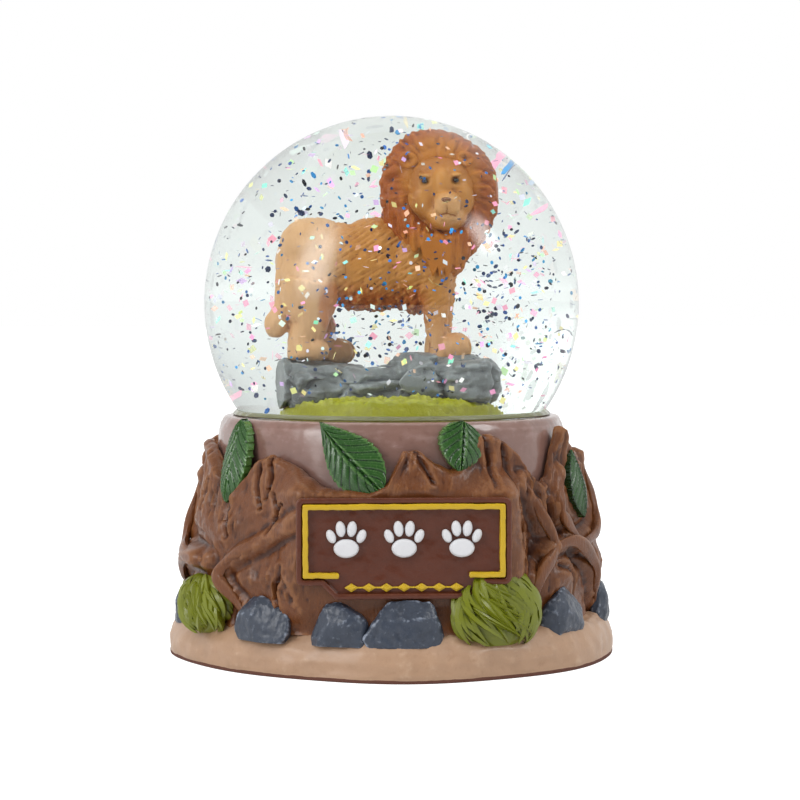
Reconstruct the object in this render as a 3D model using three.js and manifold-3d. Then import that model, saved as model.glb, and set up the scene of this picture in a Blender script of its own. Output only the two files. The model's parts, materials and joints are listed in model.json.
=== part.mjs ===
// A snow globe: a water-filled glass ball with a lion on a rock ledge, seated in a cast stump with leaves,
// roots, stones, grass tufts and a sign board, on a sand plinth with a felt foot.
// Millimetres, +Z up. The origin is on the globe's axis, on the surface that the felt foot stands on.
// A bearing is an angle about that axis in degrees: 0 is the front (-Y), and 90 is the right (+X).
import * as THREE from "three";
import { mergeVertices } from "three/addons/utils/BufferGeometryUtils.js";
import Module from "manifold-3d";

const wasm = await Module();
wasm.setup();

// ---------------------------------------------------------------- driving dimensions
const GAP = 0.3; // clearance between neighbouring pieces
const GLOBE_RADIUS = 40; // a standard 80 mm ball
const GLASS_WALL = 1.8;
const GLOBE_Z = 74.2; // height of the ball's centre
const NECK_RADIUS = 25;
const NECK_BOTTOM = 36;
const STOPPER_TOP = 47; // the face that the figure stands on
const STOPPER_FLANGE = 2.4;
const FELT_THICKNESS = 0.8;
const FELT_INSET = 0.6;
const PLINTH_TOP = 8.4;
const PLINTH_RADIUS = 47.7;
const CAVITY_RADIUS = 30; // hollow under the stump, closed by the felt
const CAVITY_TOP = 27;
const STUMP_TOP = 50.6;
const STUMP_TOP_RADIUS = 37;
const STUMP_FOOT_RADIUS = 40.5;
const BARK_TOP_RADIUS = 39.3;
const BARK_FOOT_RADIUS = 44.4;
const BARK_UNDERCUT = 1.6; // how far the bark draws in behind the stones
const BOARD_PLANE = 41.4; // how far the flat under the sign board lies in front of the axis
const BOARD_BEARING = 27; // half the angle that the flat takes up
const BOARD_WIDTH = 42.5;
const BOARD_LOW = 19;
const BOARD_HIGH = 36.2;
const BOARD_THICKNESS = 1.6;
const LEDGE_TOP = 65.2; // where the lion's paws stand

const ROUND_SEGMENTS = 36;
const BARK_SEGMENTS = 78;

// The torn upper edge of the bark, as bearing and height, once round the stump.
const BARK_EDGE = [
  [-85, 45.4], [-73, 43.8], [-67, 41], [-60, 37.4], [-55, 35.4], [-52, 37], [-49, 42.2], [-40, 43.9],
  [-33, 41.9], [-27, 39.2], [-22, 37.6], [-10, 37.1], [-5, 37.9], [-3, 41.5], [2, 47.4], [5, 45],
  [11, 41.8], [17, 40.6], [21, 46.2], [25, 49], [31, 47], [36, 45], [41, 40.6], [46, 37.6],
  [52, 39.2], [56, 45.6], [59, 49.4], [62, 48], [67, 44.8], [78, 40.4], [86, 44.8], [96, 38.4],
  [108, 46.5], [120, 40], [132, 35], [146, 45.6], [158, 41], [170, 36.4], [182, 47.6], [194, 43],
  [204, 36], [218, 46.8], [230, 41], [240, 34.5], [254, 46], [264, 39],
];

// Each leaf: name, bearing, height of its middle, lean in degrees (0 hangs straight down), length and width.
const LEAVES = [
  ["leaf_front_middle", -15.6, 43.8, 45, 19, 9.6],
  ["leaf_front_left", -57, 42, 2, 17, 9.2],
  ["leaf_front_right", 17.6, 45.6, -10, 10.4, 8.6],
  ["leaf_right", 67, 37, 3, 14.6, 8.2],
  ["leaf_back_right", 129, 41.6, 30, 16, 8.4],
  ["leaf_back_middle", 170, 42.4, -24, 15, 8.2],
  ["leaf_back_left", 236, 41.4, 18, 17, 8.6],
];

// Each stone: name, bearing, distance from the axis, then its width, depth and height.
const STONES = [
  ["stone_front_left", -39.6, 44, 13.6, 8, 13],
  ["stone_front_middle_left", -17, 43.8, 12, 7.6, 11.4],
  ["stone_front_middle_right", 0.8, 43.6, 17.4, 8.6, 13],
  ["stone_front_right", 50.4, 44, 14, 8, 12.4],
  ["stone_right", 81, 44.6, 10, 6.6, 12.4],
  ["stone_back_right", 141, 44, 13, 7.6, 11.6],
  ["stone_back_middle", 176, 44, 14.2, 7.8, 12],
  ["stone_back_left", 214, 44, 12, 7.6, 11],
  ["stone_left", 274, 44.6, 11, 6.6, 12.4],
];

// Each grass tuft: name, bearing, distance from the axis, then its width, depth and height.
const TUFTS = [
  ["grass_tuft_front_left", -67, 43.6, 17, 9, 12.4],
  ["grass_tuft_front_right", 25.4, 43.6, 19.4, 9.4, 17],
  ["grass_tuft_back_right", 112, 43.6, 14.5, 8.6, 13],
  ["grass_tuft_back_left", 246, 43.6, 15, 8.6, 13],
];

// Each root: name, thickness, then its branches, each a way up the bark as bearing, height and lift off the bark.
const ROOTS = [
  ["root_left", 1.7, [[-43, 10, 0.2], [-49.3, 14.5, 0.5], [-54.6, 19, 0.6], [-50, 23, 0.5], [-42, 26, 0.3], [-29, 31, 0]]],
  ["root_far_left", 1.8,
    [[-64, 21.5, 0.2], [-76, 22.4, 0.8], [-87, 23.6, 0.8], [-94, 30, 0.5], [-90, 38, 0]],
    [[-98, 12, 0.2], [-90, 17, 0.8], [-80, 21, 0.7], [-70, 22, 0.3]]],
  ["root_right", 1.8,
    [[37.6, 11, 0.2], [38.6, 19, 0.4], [45.5, 25.4, 0.6], [42, 32, 0.4], [37.5, 38, 0]],
    [[44, 25, 0.3], [55.5, 25.6, 0.6], [67, 20.8, 0.7], [74, 14.6, 0.4], [78, 10, 0]]],
  ["root_far_right", 1.6, [[60, 25, 0.2], [52.6, 30, 0.4], [52, 34, 0.2], [56, 40, 0]],
    [[62, 24.4, 0.2], [76, 27, 0.6], [83, 34, 0.4], [85, 42, 0]]],
  ["root_back_right", 2, [[156, 11, 0.2], [160, 19, 0.5], [154, 26, 0.6], [150, 34, 0.3], [147, 41, 0]]],
  ["root_back_left", 2, [[196, 11, 0.2], [200, 18, 0.5], [208, 24, 0.6], [216, 32, 0.4], [220, 40, 0]]],
];

const COLOURS = {
  glass: [0xf4f9f8, 0.02],
  liquid: [0xf2f8fa, 0.02],
  rubber: [0xe4e2dc, 0.7],
  sealant: [0xb9c2bd, 0.35],
  wood: [0x8e7068, 0.35],
  bark: [0x7a4426, 0.4],
  root: [0x6d3a20, 0.4],
  sand: [0xc39f80, 0.45],
  felt: [0x55301f, 0.95],
  leaf: [0x2f6a3a, 0.35],
  stone: [0x525b66, 0.5],
  grass: [0x77842a, 0.45],
  board: [0x6b3b2b, 0.4],
  yellow: [0xd6ae16, 0.4],
  white: [0xe6e6e4, 0.45],
  ledge: [0x83878a, 0.5],
  meadow: [0xa8ad1f, 0.5],
  fur: [0xc98a4c, 0.5],
  mane: [0xb4611f, 0.5],
};

// ---------------------------------------------------------------- solids and small helpers
const radians = THREE.MathUtils.degToRad;
const lerp = THREE.MathUtils.lerp;
const smoothstep = THREE.MathUtils.smoothstep;

/** A closed geometry as a solid, with its faces turned outwards. */
function toSolid(geometry) {
  const bare = new THREE.BufferGeometry();
  bare.setAttribute("position", (geometry.index ? geometry.toNonIndexed() : geometry).getAttribute("position"));
  const merged = mergeVertices(bare, 1e-3);
  const triVerts = new Uint32Array(merged.index.array);
  const mesh = { numProp: 3, vertProperties: merged.attributes.position.array, triVerts };
  const solid = new wasm.Manifold(new wasm.Mesh(mesh));
  if (solid.volume() > 0) return solid;
  return new wasm.Manifold(new wasm.Mesh({ ...mesh, triVerts: triVerts.reverse() }));
}

/** A solid's triangles as a geometry. */
function toGeometry(solid) {
  const { vertProperties, triVerts } = solid.getMesh();
  const geometry = new THREE.BufferGeometry();
  geometry.setAttribute("position", new THREE.BufferAttribute(vertProperties, 3));
  geometry.setIndex(new THREE.BufferAttribute(triVerts, 1));
  return geometry;
}

const join = (solids) => solids.reduce((whole, piece) => whole.add(piece));
const cut = (solid, ...cutters) => cutters.reduce((left, cutter) => left.subtract(cutter), solid);

/** The biggest body of a solid: what is left of a piece when a cut has parted slivers from it. */
const biggest = (solid) => solid.decompose().reduce((best, body) => (body.volume() > best.volume() ? body : best));

/** A profile of [radius, height] points turned about the Z axis. */
function turned(profile, segments = ROUND_SEGMENTS) {
  const points = profile.map(([radius, height]) => new THREE.Vector2(radius, height));
  return new THREE.LatheGeometry(points, segments).rotateX(Math.PI / 2);
}

/** Points of an arc in the profile plane, from one angle to another in degrees above the horizontal. */
function arc(radius, centreZ, from, to, steps) {
  return Array.from({ length: steps + 1 }, (_, i) => {
    const angle = radians(lerp(from, to, i / steps));
    return [Math.max(0, radius * Math.cos(angle)), centreZ + radius * Math.sin(angle)];
  });
}

/** The angle at which a circle about the ball's centre meets a vertical line at the given distance. */
const neckAngle = (radius, distance) => -THREE.MathUtils.radToDeg(Math.acos(distance / radius));

/** A ledge's or stone's fixed unevenness: the same number from 0 to 1 for the same seed. */
function grain(seed) {
  const raw = Math.sin(seed * 127.1 + 311.7) * 43758.5453;
  return raw - Math.floor(raw);
}

/** Moves every vertex of a geometry by a function of its place, after the vertices at one place are merged. */
function sculpt(geometry, move) {
  const bare = new THREE.BufferGeometry();
  bare.setAttribute("position", (geometry.index ? geometry.toNonIndexed() : geometry).getAttribute("position"));
  const merged = mergeVertices(bare, 1e-3);
  const positions = merged.attributes.position;
  const point = new THREE.Vector3();
  for (let i = 0; i < positions.count; i += 1) {
    point.fromBufferAttribute(positions, i);
    move(point, i);
    positions.setXYZ(i, point.x, point.y, point.z);
  }
  return merged;
}

/** An ellipsoid at a place, turned about its own Z axis, as a solid. */
function ellipsoid([x, y, z], [rx, ry, rz], { turn = 0, grow = 0, detail = 9 } = {}) {
  const ball = new THREE.SphereGeometry(1, detail, Math.round(detail * 0.7)).rotateX(Math.PI / 2);
  ball.scale(rx + grow, ry + grow, rz + grow).rotateZ(radians(turn)).translate(x, y, z);
  return toSolid(ball);
}

/** A limb of even thickness with flat ends between two points, as a solid. */
function limb(from, to, radiusFrom, radiusTo, grow = 0) {
  const start = new THREE.Vector3(...from);
  const along = new THREE.Vector3(...to).sub(start);
  const rod = new THREE.CylinderGeometry(radiusTo + grow, radiusFrom + grow, along.length() + 2 * grow, 7);
  const turn = new THREE.Quaternion().setFromUnitVectors(new THREE.Vector3(0, 1, 0), along.clone().normalize());
  const middle = start.addScaledVector(along, 0.5);
  return toSolid(rod.applyQuaternion(turn).translate(middle.x, middle.y, middle.z));
}

const bearingOf = (x, y) => THREE.MathUtils.radToDeg(Math.atan2(x, -y));
const onBearing = (bearing, radius, z) =>
  new THREE.Vector3(radius * Math.sin(radians(bearing)), -radius * Math.cos(radians(bearing)), z);

// ---------------------------------------------------------------- the stump's own surfaces
/** Height of the torn bark edge at a bearing. */
function barkHeight(bearing) {
  const first = BARK_EDGE[0][0];
  const turn = first + THREE.MathUtils.euclideanModulo(bearing - first, 360);
  const next = BARK_EDGE.findIndex(([at]) => at > turn);
  if (next < 1) return BARK_EDGE[0][1];
  const [fromBearing, fromHeight] = BARK_EDGE[next - 1];
  const [toBearing, toHeight] = BARK_EDGE[next];
  return lerp(fromHeight, toHeight, (turn - fromBearing) / (toBearing - fromBearing));
}

/** Radius of the bare wood inside the bark. */
const woodRadius = (z) => lerp(STUMP_FOOT_RADIUS, STUMP_TOP_RADIUS, (z - PLINTH_TOP) / (STUMP_TOP - PLINTH_TOP));

/** Radius of the bark's outer face, with its lobes and the flat that carries the sign board. */
function barkRadius(bearing, z) {
  const side = Math.abs(THREE.MathUtils.euclideanModulo(bearing + 180, 360) - 180);
  const rise = smoothstep(z, 14, STUMP_TOP);
  const lobes = 0.5 * Math.sin(radians(5 * bearing + 40)) + 0.35 * Math.sin(radians(9 * bearing));
  const round = lerp(BARK_FOOT_RADIUS, BARK_TOP_RADIUS, rise) + lobes * (1 - rise);
  const flat = BOARD_PLANE / Math.cos(radians(Math.min(side, BOARD_BEARING)));
  const shoulder = 1 - smoothstep(side, BOARD_BEARING, BOARD_BEARING + 13);
  const level = smoothstep(z, 9, 15) * (1 - smoothstep(z, BOARD_HIGH, BOARD_HIGH + 6));
  const undercut = BARK_UNDERCUT * (1 - smoothstep(z, 13, 20));
  return lerp(round - undercut, flat - undercut * 0.4, shoulder * level);
}

/** The bark ring from the plinth up to its torn edge, thickened outwards by grow. */
function barkSolid(grow = 0) {
  const levels = [PLINTH_TOP, 12, 17, 24, 31];
  const marks = [...levels.map((z) => [2, z]), [2, 90], [1, 90], [1, PLINTH_TOP], [2, PLINTH_TOP]];
  const ring = sculpt(turned(marks, BARK_SEGMENTS), (point) => {
    const bearing = bearingOf(point.x, point.y);
    const outer = Math.hypot(point.x, point.y) > 1.5;
    const z = point.z > 60 ? barkHeight(bearing) + grow : point.z - (point.z === PLINTH_TOP ? grow : 0);
    const inner = woodRadius(Math.max(z, PLINTH_TOP)) + GAP;
    const radius = outer ? Math.max(barkRadius(bearing, z), inner + 1) + grow : inner - grow;
    point.copy(onBearing(bearing, radius, z));
  });
  return toSolid(ring);
}

/** The wood core's envelope without its hollows, thickened by grow, for trimming what lies against it. */
function woodEnvelope(grow) {
  const wall = [PLINTH_TOP, STUMP_TOP].map((z) => [woodRadius(z) + grow, z]);
  return toSolid(turned([[0, 0], [woodRadius(PLINTH_TOP) + grow, 0], ...wall, [0, STUMP_TOP]]));
}

/** The sand plinth's outline: its radius at a bearing, about a middle that centres its bounds on the axis. */
function sandRadius(bearing) {
  const b = radians(bearing);
  return PLINTH_RADIUS + 0.7 * Math.sin(3 * b + 0.6) + 0.5 * Math.sin(5 * b + 2) + 0.35 * Math.cos(8 * b);
}

/** A ring whose outer edge follows the sand outline. Its profile gives how far inside that outline each point is. */
function sandRing(profile, innerRadius, segments = 60) {
  const marks = [...profile.map(([inset, z]) => [100 - inset, z])];
  const low = profile[0][1];
  const high = profile[profile.length - 1][1];
  const closed = innerRadius > 0
    ? [[innerRadius, low], ...marks, [innerRadius, high], [innerRadius, low]]
    : [[0, low], ...marks, [0, high]];
  const ring = sculpt(turned(closed, segments), (point) => {
    const distance = Math.hypot(point.x, point.y);
    if (distance < 60) return;
    const bearing = bearingOf(point.x, point.y);
    point.copy(onBearing(bearing, sandRadius(bearing) - (100 - distance), point.z));
  });
  ring.computeBoundingBox();
  const middle = ring.boundingBox.getCenter(new THREE.Vector3());
  return toSolid(sculpt(ring, (point) => {
    if (Math.hypot(point.x, point.y) < innerRadius + 1) return;
    point.x -= middle.x;
    point.y -= middle.y;
  }));
}

const sandProfile = (grow) => [
  [0.8 - grow, FELT_THICKNESS], [0 - grow, 1.8], [0.1 - grow, 4], [0.9 - grow, 6],
  [2.6 - grow, 7.8 + grow], [5, PLINTH_TOP + grow],
];

// ---------------------------------------------------------------- pieces
function stumpCore() {
  const seat = GLOBE_RADIUS + GAP;
  const neck = NECK_RADIUS + GAP;
  const mouth = -THREE.MathUtils.radToDeg(Math.asin((GLOBE_Z - STUMP_TOP) / seat));
  const wall = [PLINTH_TOP, 28, 47].map((z) => [woodRadius(z), z]);
  const rim = [[STUMP_TOP_RADIUS - 0.2, 49.4], [STUMP_TOP_RADIUS - 0.8, 50.3], [STUMP_TOP_RADIUS - 2, STUMP_TOP]];
  const bowl = arc(seat, GLOBE_Z, mouth, neckAngle(seat, neck), 5);
  const floor = NECK_BOTTOM - STOPPER_FLANGE - 2 * GAP;
  const hollow = [[0, floor], [0, CAVITY_TOP], [CAVITY_RADIUS - 2, CAVITY_TOP], [CAVITY_RADIUS, CAVITY_TOP - 2]];
  return toSolid(turned([
    [CAVITY_RADIUS, PLINTH_TOP], ...wall, ...rim, ...bowl, [neck, floor], ...hollow, [CAVITY_RADIUS, PLINTH_TOP],
  ], 42));
}

function glassGlobe() {
  const inner = GLOBE_RADIUS - GLASS_WALL;
  const neckInner = NECK_RADIUS - GLASS_WALL;
  return toSolid(turned([
    ...arc(GLOBE_RADIUS, GLOBE_Z, 90, neckAngle(GLOBE_RADIUS, NECK_RADIUS), 11),
    [NECK_RADIUS, NECK_BOTTOM], [neckInner, NECK_BOTTOM],
    ...arc(inner, GLOBE_Z, neckAngle(inner, neckInner), 90, 11),
  ]));
}

function rubberStopper() {
  const plug = NECK_RADIUS - GLASS_WALL - GAP;
  const flangeTop = NECK_BOTTOM - GAP;
  const flangeLow = flangeTop - STOPPER_FLANGE;
  return toSolid(turned([
    [0, flangeLow], [NECK_RADIUS, flangeLow], [NECK_RADIUS, flangeTop], [plug - 0.6, flangeTop],
    [plug - 0.6, 38], [plug, 38.8], [plug, 40.4], [plug - 0.6, 41.2], [plug, 42.6], [plug - 1.4, STOPPER_TOP],
    [0, STOPPER_TOP],
  ]));
}

/** The bead of sealant that fills the corner between the ball and the stump's top face. */
function sealantBead() {
  const low = STUMP_TOP + 0.1;
  const clear = GLOBE_RADIUS + 0.15;
  const onBall = (z) => Math.sqrt(clear ** 2 - (GLOBE_Z - z) ** 2);
  return toSolid(turned([
    [onBall(low), low], [onBall(low) + 1.5, low], [onBall(low) + 1.25, low + 0.5], [onBall(low + 1) + 0.3, low + 1],
    [onBall(low + 1), low + 1], [onBall(low), low],
  ]));
}

/** A block of ledge rock: a rough outline of the given half width and half depth, chipped along its edges. */
function rockBlock([x, y], [halfWidth, halfDepth], low, high, seed, grow) {
  const corners = 9;
  const outline = Array.from({ length: corners }, (_, i) => {
    const angle = (2 * Math.PI * i) / corners;
    const reach = 0.86 + 0.14 * grain(seed + i);
    return new THREE.Vector2(
      (halfWidth * reach + grow) * Math.cos(angle),
      (halfDepth * reach + grow) * Math.sin(angle),
    );
  });
  const chip = { depth: high - low + 2 * grow - 2.4, bevelEnabled: true, bevelThickness: 1.2, bevelSize: 1.1 };
  const block = new THREE.ExtrudeGeometry(new THREE.Shape(outline), { ...chip, bevelOffset: -1.1, bevelSegments: 1 });
  return toSolid(block.translate(x, y, low - grow + 1.2));
}

const ledgeSolid = (grow = 0) => join([
  rockBlock([-8.8, 0], [10.2, 11.6], 56.8, 64.6, 3, grow),
  rockBlock([8.4, 0], [9.6, 12], 56.8, LEDGE_TOP, 11, grow),
  rockBlock([0, -1], [13, 12.6], 56.6, 62.4, 23, grow),
]);

/** The grass mound under the ledge, standing on the stopper. */
function meadowSolid(grow = 0) {
  const mound = sculpt(
    turned([[0, STOPPER_TOP + 0.1 - grow], [19.6 + grow, STOPPER_TOP + 0.1 - grow], [20.2 + grow, 50],
      [19.8 + grow, 54.8 + grow], [17.4, 56.8 + grow], [0, 57.6 + grow]], 24),
    (point, i) => {
      const reach = Math.hypot(point.x, point.y) > 10 && point.z > 52 ? 1 - 0.05 * grain(i) : 1;
      point.set(point.x * reach, point.y * reach, point.z);
    },
  );
  return toSolid(mound);
}

/** The lion without its mane: trunk, head, muzzle, legs, paws and tail. */
function lionSolid(grow = 0) {
  const round = (place, radii, turn = 0, detail = 9) => ellipsoid(place, radii, { turn, grow, detail });
  const paws = [[-11.8, -4.2], [-8.2, 3.6], [9.2, -4.2], [11.4, 3.2]];
  return join([
    round([-12.2, 0, 80.7], [7, 6.2, 7.4]),
    round([-3.6, 0, 79.8], [11.4, 5.8, 7]),
    round([5, 0, 79.6], [7, 6.2, 8.4]),
    round([6.6, -1, 87.5], [5.8, 5.4, 7.6]),
    round([8.4, -4.6, 93.4], [5.4, 5.6, 6.2]),
    round([9.4, -9.6, 91.2], [2.7, 3, 2.5], 12),
    round([-13.4, -3.6, 76], [5.2, 3, 6.2]),
    limb([-14.8, -3.8, 74], [-13.2, -4, 64.2], 2.7, 2.2, grow),
    limb([-11, 3.4, 77], [-9.6, 3.6, 64.2], 3, 2.2, grow),
    limb([6.8, -3.4, 78], [7.4, -3.8, 64.2], 2.7, 2.2, grow),
    limb([8.8, 3, 78], [9.6, 3.2, 64.2], 2.7, 2.2, grow),
    ...paws.map(([x, y]) => round([x, y, 66.2], [3.4, 2.3, 2], 0, 8)),
    limb([-17.4, -0.6, 84], [-19.6, -2.4, 77], 1.1, 1, grow),
    limb([-19.6, -2.2, 78], [-19, -3, 71.6], 1, 0.9, grow),
    round([-19, -3, 71], [2, 1.8, 2.8], 0, 8),
  ]);
}

/** The mane with the ears that stand in it: a ruff round the face, the shoulders' hair and the chest's. */
const maneSolid = (grow = 0) => join([
  ellipsoid([8, -1.6, 93], [9.5, 6.4, 11.3], { turn: 8, grow, detail: 12 }),
  ellipsoid([8, -2.8, 82.2], [6.8, 5.6, 9.2], { grow, detail: 10 }),
  ellipsoid([3.2, 0, 84.8], [7.2, 7.2, 9.2], { grow, detail: 10 }),
  ellipsoid([2.6, -5, 99], [1.9, 1.4, 1.9], { grow, detail: 7 }),
  ellipsoid([12.7, -4.4, 99.9], [1.9, 1.4, 1.9], { grow, detail: 7 }),
]);

/** The liquid: all the room inside the glass above the stopper that the figure leaves. */
function liquidFill() {
  const inner = GLOBE_RADIUS - GLASS_WALL - GAP;
  const neckInner = NECK_RADIUS - GLASS_WALL - GAP;
  const body = toSolid(turned([
    ...arc(inner, GLOBE_Z, 90, neckAngle(inner, neckInner), 11), [neckInner, STOPPER_TOP + GAP / 2],
    [0, STOPPER_TOP + GAP / 2],
  ]));
  return cut(body, meadowSolid(GAP), ledgeSolid(GAP), lionSolid(GAP), maneSolid(GAP));
}

/** A leaf outline with toothed edges, tip downwards, centred on the origin. */
function leafShape(length, width) {
  const teeth = 5;
  const sides = [1, -1].flatMap((side) => {
    const edge = Array.from({ length: 2 * teeth }, (_, i) => {
      const along = (i + 0.5) / (2 * teeth);
      const belly = Math.sin(Math.PI * along ** 0.85) ** 0.75;
      const tooth = i % 2 ? 0.93 : 1.05;
      return new THREE.Vector2(side * (width / 2) * belly * tooth, length * (0.5 - along));
    });
    return side > 0 ? [new THREE.Vector2(0, length / 2), ...edge] : [new THREE.Vector2(0, -length / 2), ...edge.reverse()];
  });
  return new THREE.Shape(sides);
}

/** Stands a piece that was drawn face up in the XY plane against the stump, its back towards the axis. */
function againstStump(geometry, bearing, distance, z, { lean = 0, slope = 0 } = {}) {
  const stood = geometry.rotateZ(radians(lean)).rotateX(radians(90 - slope)).translate(0, -distance, z);
  return stood.rotateZ(radians(bearing));
}

const LEAF_DEPTH = 4;
const LEAF_PROUD = 1.1;

// Each of the four functions below gives one piece in relief on the stump, thickened on every side by grow.

function leaf([, bearing, z, lean, length, width], index, grow) {
  const depth = LEAF_DEPTH + 2 * grow;
  const shape = leafShape(length + 2 * grow, width + 2 * grow);
  const plate = new THREE.ExtrudeGeometry(shape, { depth, bevelEnabled: false });
  const spots = [-0.4, 0, 0.4].flatMap((u) => [-0.35, 0.35].map((v) => [bearing + u * 12, z + v * length]));
  const reach = Math.max(...spots.map(([b, h]) => (h < barkHeight(b) ? barkRadius(b, h) : woodRadius(h))));
  const distance = reach + GAP + LEAF_PROUD - LEAF_DEPTH - grow;
  return toSolid(againstStump(plate, bearing, distance, z, { lean, slope: 7 }));
}

function stone([, bearing, distance, width, depth, height], index, grow) {
  const rough = sculpt(new THREE.IcosahedronGeometry(1, 1), (point, i) => {
    point.multiplyScalar(0.82 + 0.22 * grain(index * 50 + i));
    point.multiply(new THREE.Vector3(width, depth, height).multiplyScalar(0.5).addScalar(1.2 * grow));
  });
  return toSolid(rough.translate(0, -distance, PLINTH_TOP + height * 0.28).rotateZ(radians(bearing)));
}

function tuft([, bearing, distance, width, depth, height], index, grow) {
  const dome = sculpt(new THREE.SphereGeometry(1, 14, 8).rotateX(Math.PI / 2), (point, i) => {
    const blade = 1 + 0.09 * Math.sin(9 * Math.atan2(point.y, point.x) + 3 * point.z) - 0.05 * grain(index * 40 + i);
    point.multiplyScalar(blade);
    point.multiply(new THREE.Vector3(width, depth, height).multiplyScalar(0.5).addScalar(1.2 * grow));
  });
  return toSolid(dome.translate(0, -distance, PLINTH_TOP + height * 0.24).rotateZ(radians(bearing)));
}

function root([, thickness, ...ways], index, grow) {
  const reach = thickness + 1.2 * grow;
  const section = new THREE.Shape(Array.from({ length: 6 }, (_, i) => {
    const angle = (Math.PI * i) / 3;
    return new THREE.Vector2(reach * Math.cos(angle), reach * 0.8 * Math.sin(angle));
  }));
  return join(ways.map((way) => {
    const extrudePath = new THREE.CatmullRomCurve3(way.map(([bearing, z, lift]) =>
      onBearing(bearing, Math.max(barkRadius(bearing, z), woodRadius(z) + 1.4) + 0.9 + lift, z)));
    return toSolid(new THREE.ExtrudeGeometry(section, { steps: 2 * way.length, extrudePath }));
  }));
}

/** The relief on the stump: each piece is cut back from the stump and from the pieces that stand before it. */
function relief() {
  const kinds = [["grass", TUFTS, tuft], ["stone", STONES, stone], ["leaf", LEAVES, leaf], ["root", ROOTS, root]];
  const taken = [barkSolid(GAP), woodEnvelope(GAP), sandRing(sandProfile(GAP), 0), boardSlab(GAP)];
  return kinds.flatMap(([finish, rows, make]) => rows.map((row, index) => {
    const piece = biggest(cut(make(row, index, 0), ...taken));
    taken.push(make(row, index, GAP));
    return [row[0], finish, piece];
  }));
}

// ---------------------------------------------------------------- the sign board
const TAB_WIDTH = 27;
const TAB_DROP = 2.8;
const FIELD_DEPTH = 0.9; // how deep the board's field lies below its rim

/** A rectangle with rounded corners, and with a wider lip below if a drop is given. */
function boardShape(width, low, high, corner, drop = 0) {
  const shape = new THREE.Shape();
  const half = width / 2;
  const quarter = (x, z, from) => shape.absarc(x, z, corner, radians(from), radians(from + 90), false);
  quarter(half - corner, low + corner, 270);
  quarter(half - corner, high - corner, 0);
  quarter(-half + corner, high - corner, 90);
  quarter(-half + corner, low + corner, 180);
  if (drop > 0) {
    shape.lineTo(-TAB_WIDTH / 2 - drop, low);
    shape.lineTo(-TAB_WIDTH / 2, low - drop);
    shape.lineTo(TAB_WIDTH / 2, low - drop);
    shape.lineTo(TAB_WIDTH / 2 + drop, low);
  }
  return shape;
}

/** An XY drawing pushed out to a thickness and stood up on the stump's front, its face towards -Y. */
function onFront(shape, thickness, back) {
  const options = { depth: thickness, bevelEnabled: false, curveSegments: 3 };
  return new THREE.ExtrudeGeometry(shape, options).rotateX(Math.PI / 2).translate(0, -back, 0);
}

/** The board before its field is sunk, thickened on every side by grow. */
function boardSlab(grow = 0) {
  const shape = boardShape(BOARD_WIDTH + 2 * grow, BOARD_LOW - grow, BOARD_HIGH + grow, 1.2, TAB_DROP);
  return toSolid(onFront(shape, BOARD_THICKNESS + 2 * grow, BOARD_PLANE + GAP - grow));
}

function signBoard() {
  const back = BOARD_PLANE + GAP;
  const field = boardShape(BOARD_WIDTH - 2.2, BOARD_LOW + 1.1, BOARD_HIGH - 1.1, 0.8, TAB_DROP);
  const hollow = toSolid(onFront(field, 3, back + BOARD_THICKNESS - FIELD_DEPTH));
  return cut(boardSlab(), hollow);
}

function signBorder() {
  const outer = boardShape(40, 20.4, 35, 0.5);
  outer.holes.push(new THREE.Path(boardShape(37.4, 21.7, 33.7, 0.3).getPoints(3)));
  return toSolid(onFront(outer, 1.1, BOARD_PLANE + BOARD_THICKNESS + 0.2 - FIELD_DEPTH + GAP));
}

/** One paw print in relief: a pad below four toes. */
function pawPrint(x, z, size, back) {
  const blob = (dx, dz, rx, rz, turn = 0) => {
    const oval = new THREE.EllipseCurve(dx * size, dz * size, rx * size, rz * size, 0, 2 * Math.PI, false, radians(turn));
    const shape = new THREE.Shape(oval.getPoints(9).slice(0, -1).map((p) => new THREE.Vector2(x + p.x, z + p.y)));
    return toSolid(onFront(shape, 1.1, back));
  };
  return join([
    blob(0, -0.9, 1.5, 1.15), blob(-1.75, 0.5, 0.56, 0.85, 24), blob(-0.65, 1.35, 0.6, 0.95, 8),
    blob(0.65, 1.35, 0.6, 0.95, -8), blob(1.75, 0.5, 0.56, 0.85, -24),
  ]);
}

/** The emblem: three paw prints in a row on a thin panel inside the border. */
function signEmblem() {
  const back = BOARD_PLANE + BOARD_THICKNESS + 0.2 - FIELD_DEPTH + GAP;
  const panel = toSolid(onFront(boardShape(36.6, 22.1, 33.3, 0.3), 0.4, back));
  const paws = [-11.4, 0, 11.4].map((x) => pawPrint(x, 27.6, 1.7, back));
  return join([panel, ...paws]);
}

/** The chain of small lozenges on the board's lower lip. */
function signChain() {
  const back = BOARD_PLANE + BOARD_THICKNESS + 0.2 - FIELD_DEPTH + GAP;
  const count = 7;
  const pitch = 3.5;
  const lozenges = Array.from({ length: count }, (_, i) => {
    const x = (i - (count - 1) / 2) * pitch;
    const points = [[1.3, 0], [0, 0.85], [-1.3, 0], [0, -0.85]].map(([dx, dz]) => new THREE.Vector2(x + dx, 18.5 + dz));
    return toSolid(onFront(new THREE.Shape(points), 0.9, back));
  });
  const link = onFront(boardShape((count - 1) * pitch, 18.35, 18.65, 0.1), 0.5, back);
  return join([toSolid(link), ...lozenges]);
}

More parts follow.
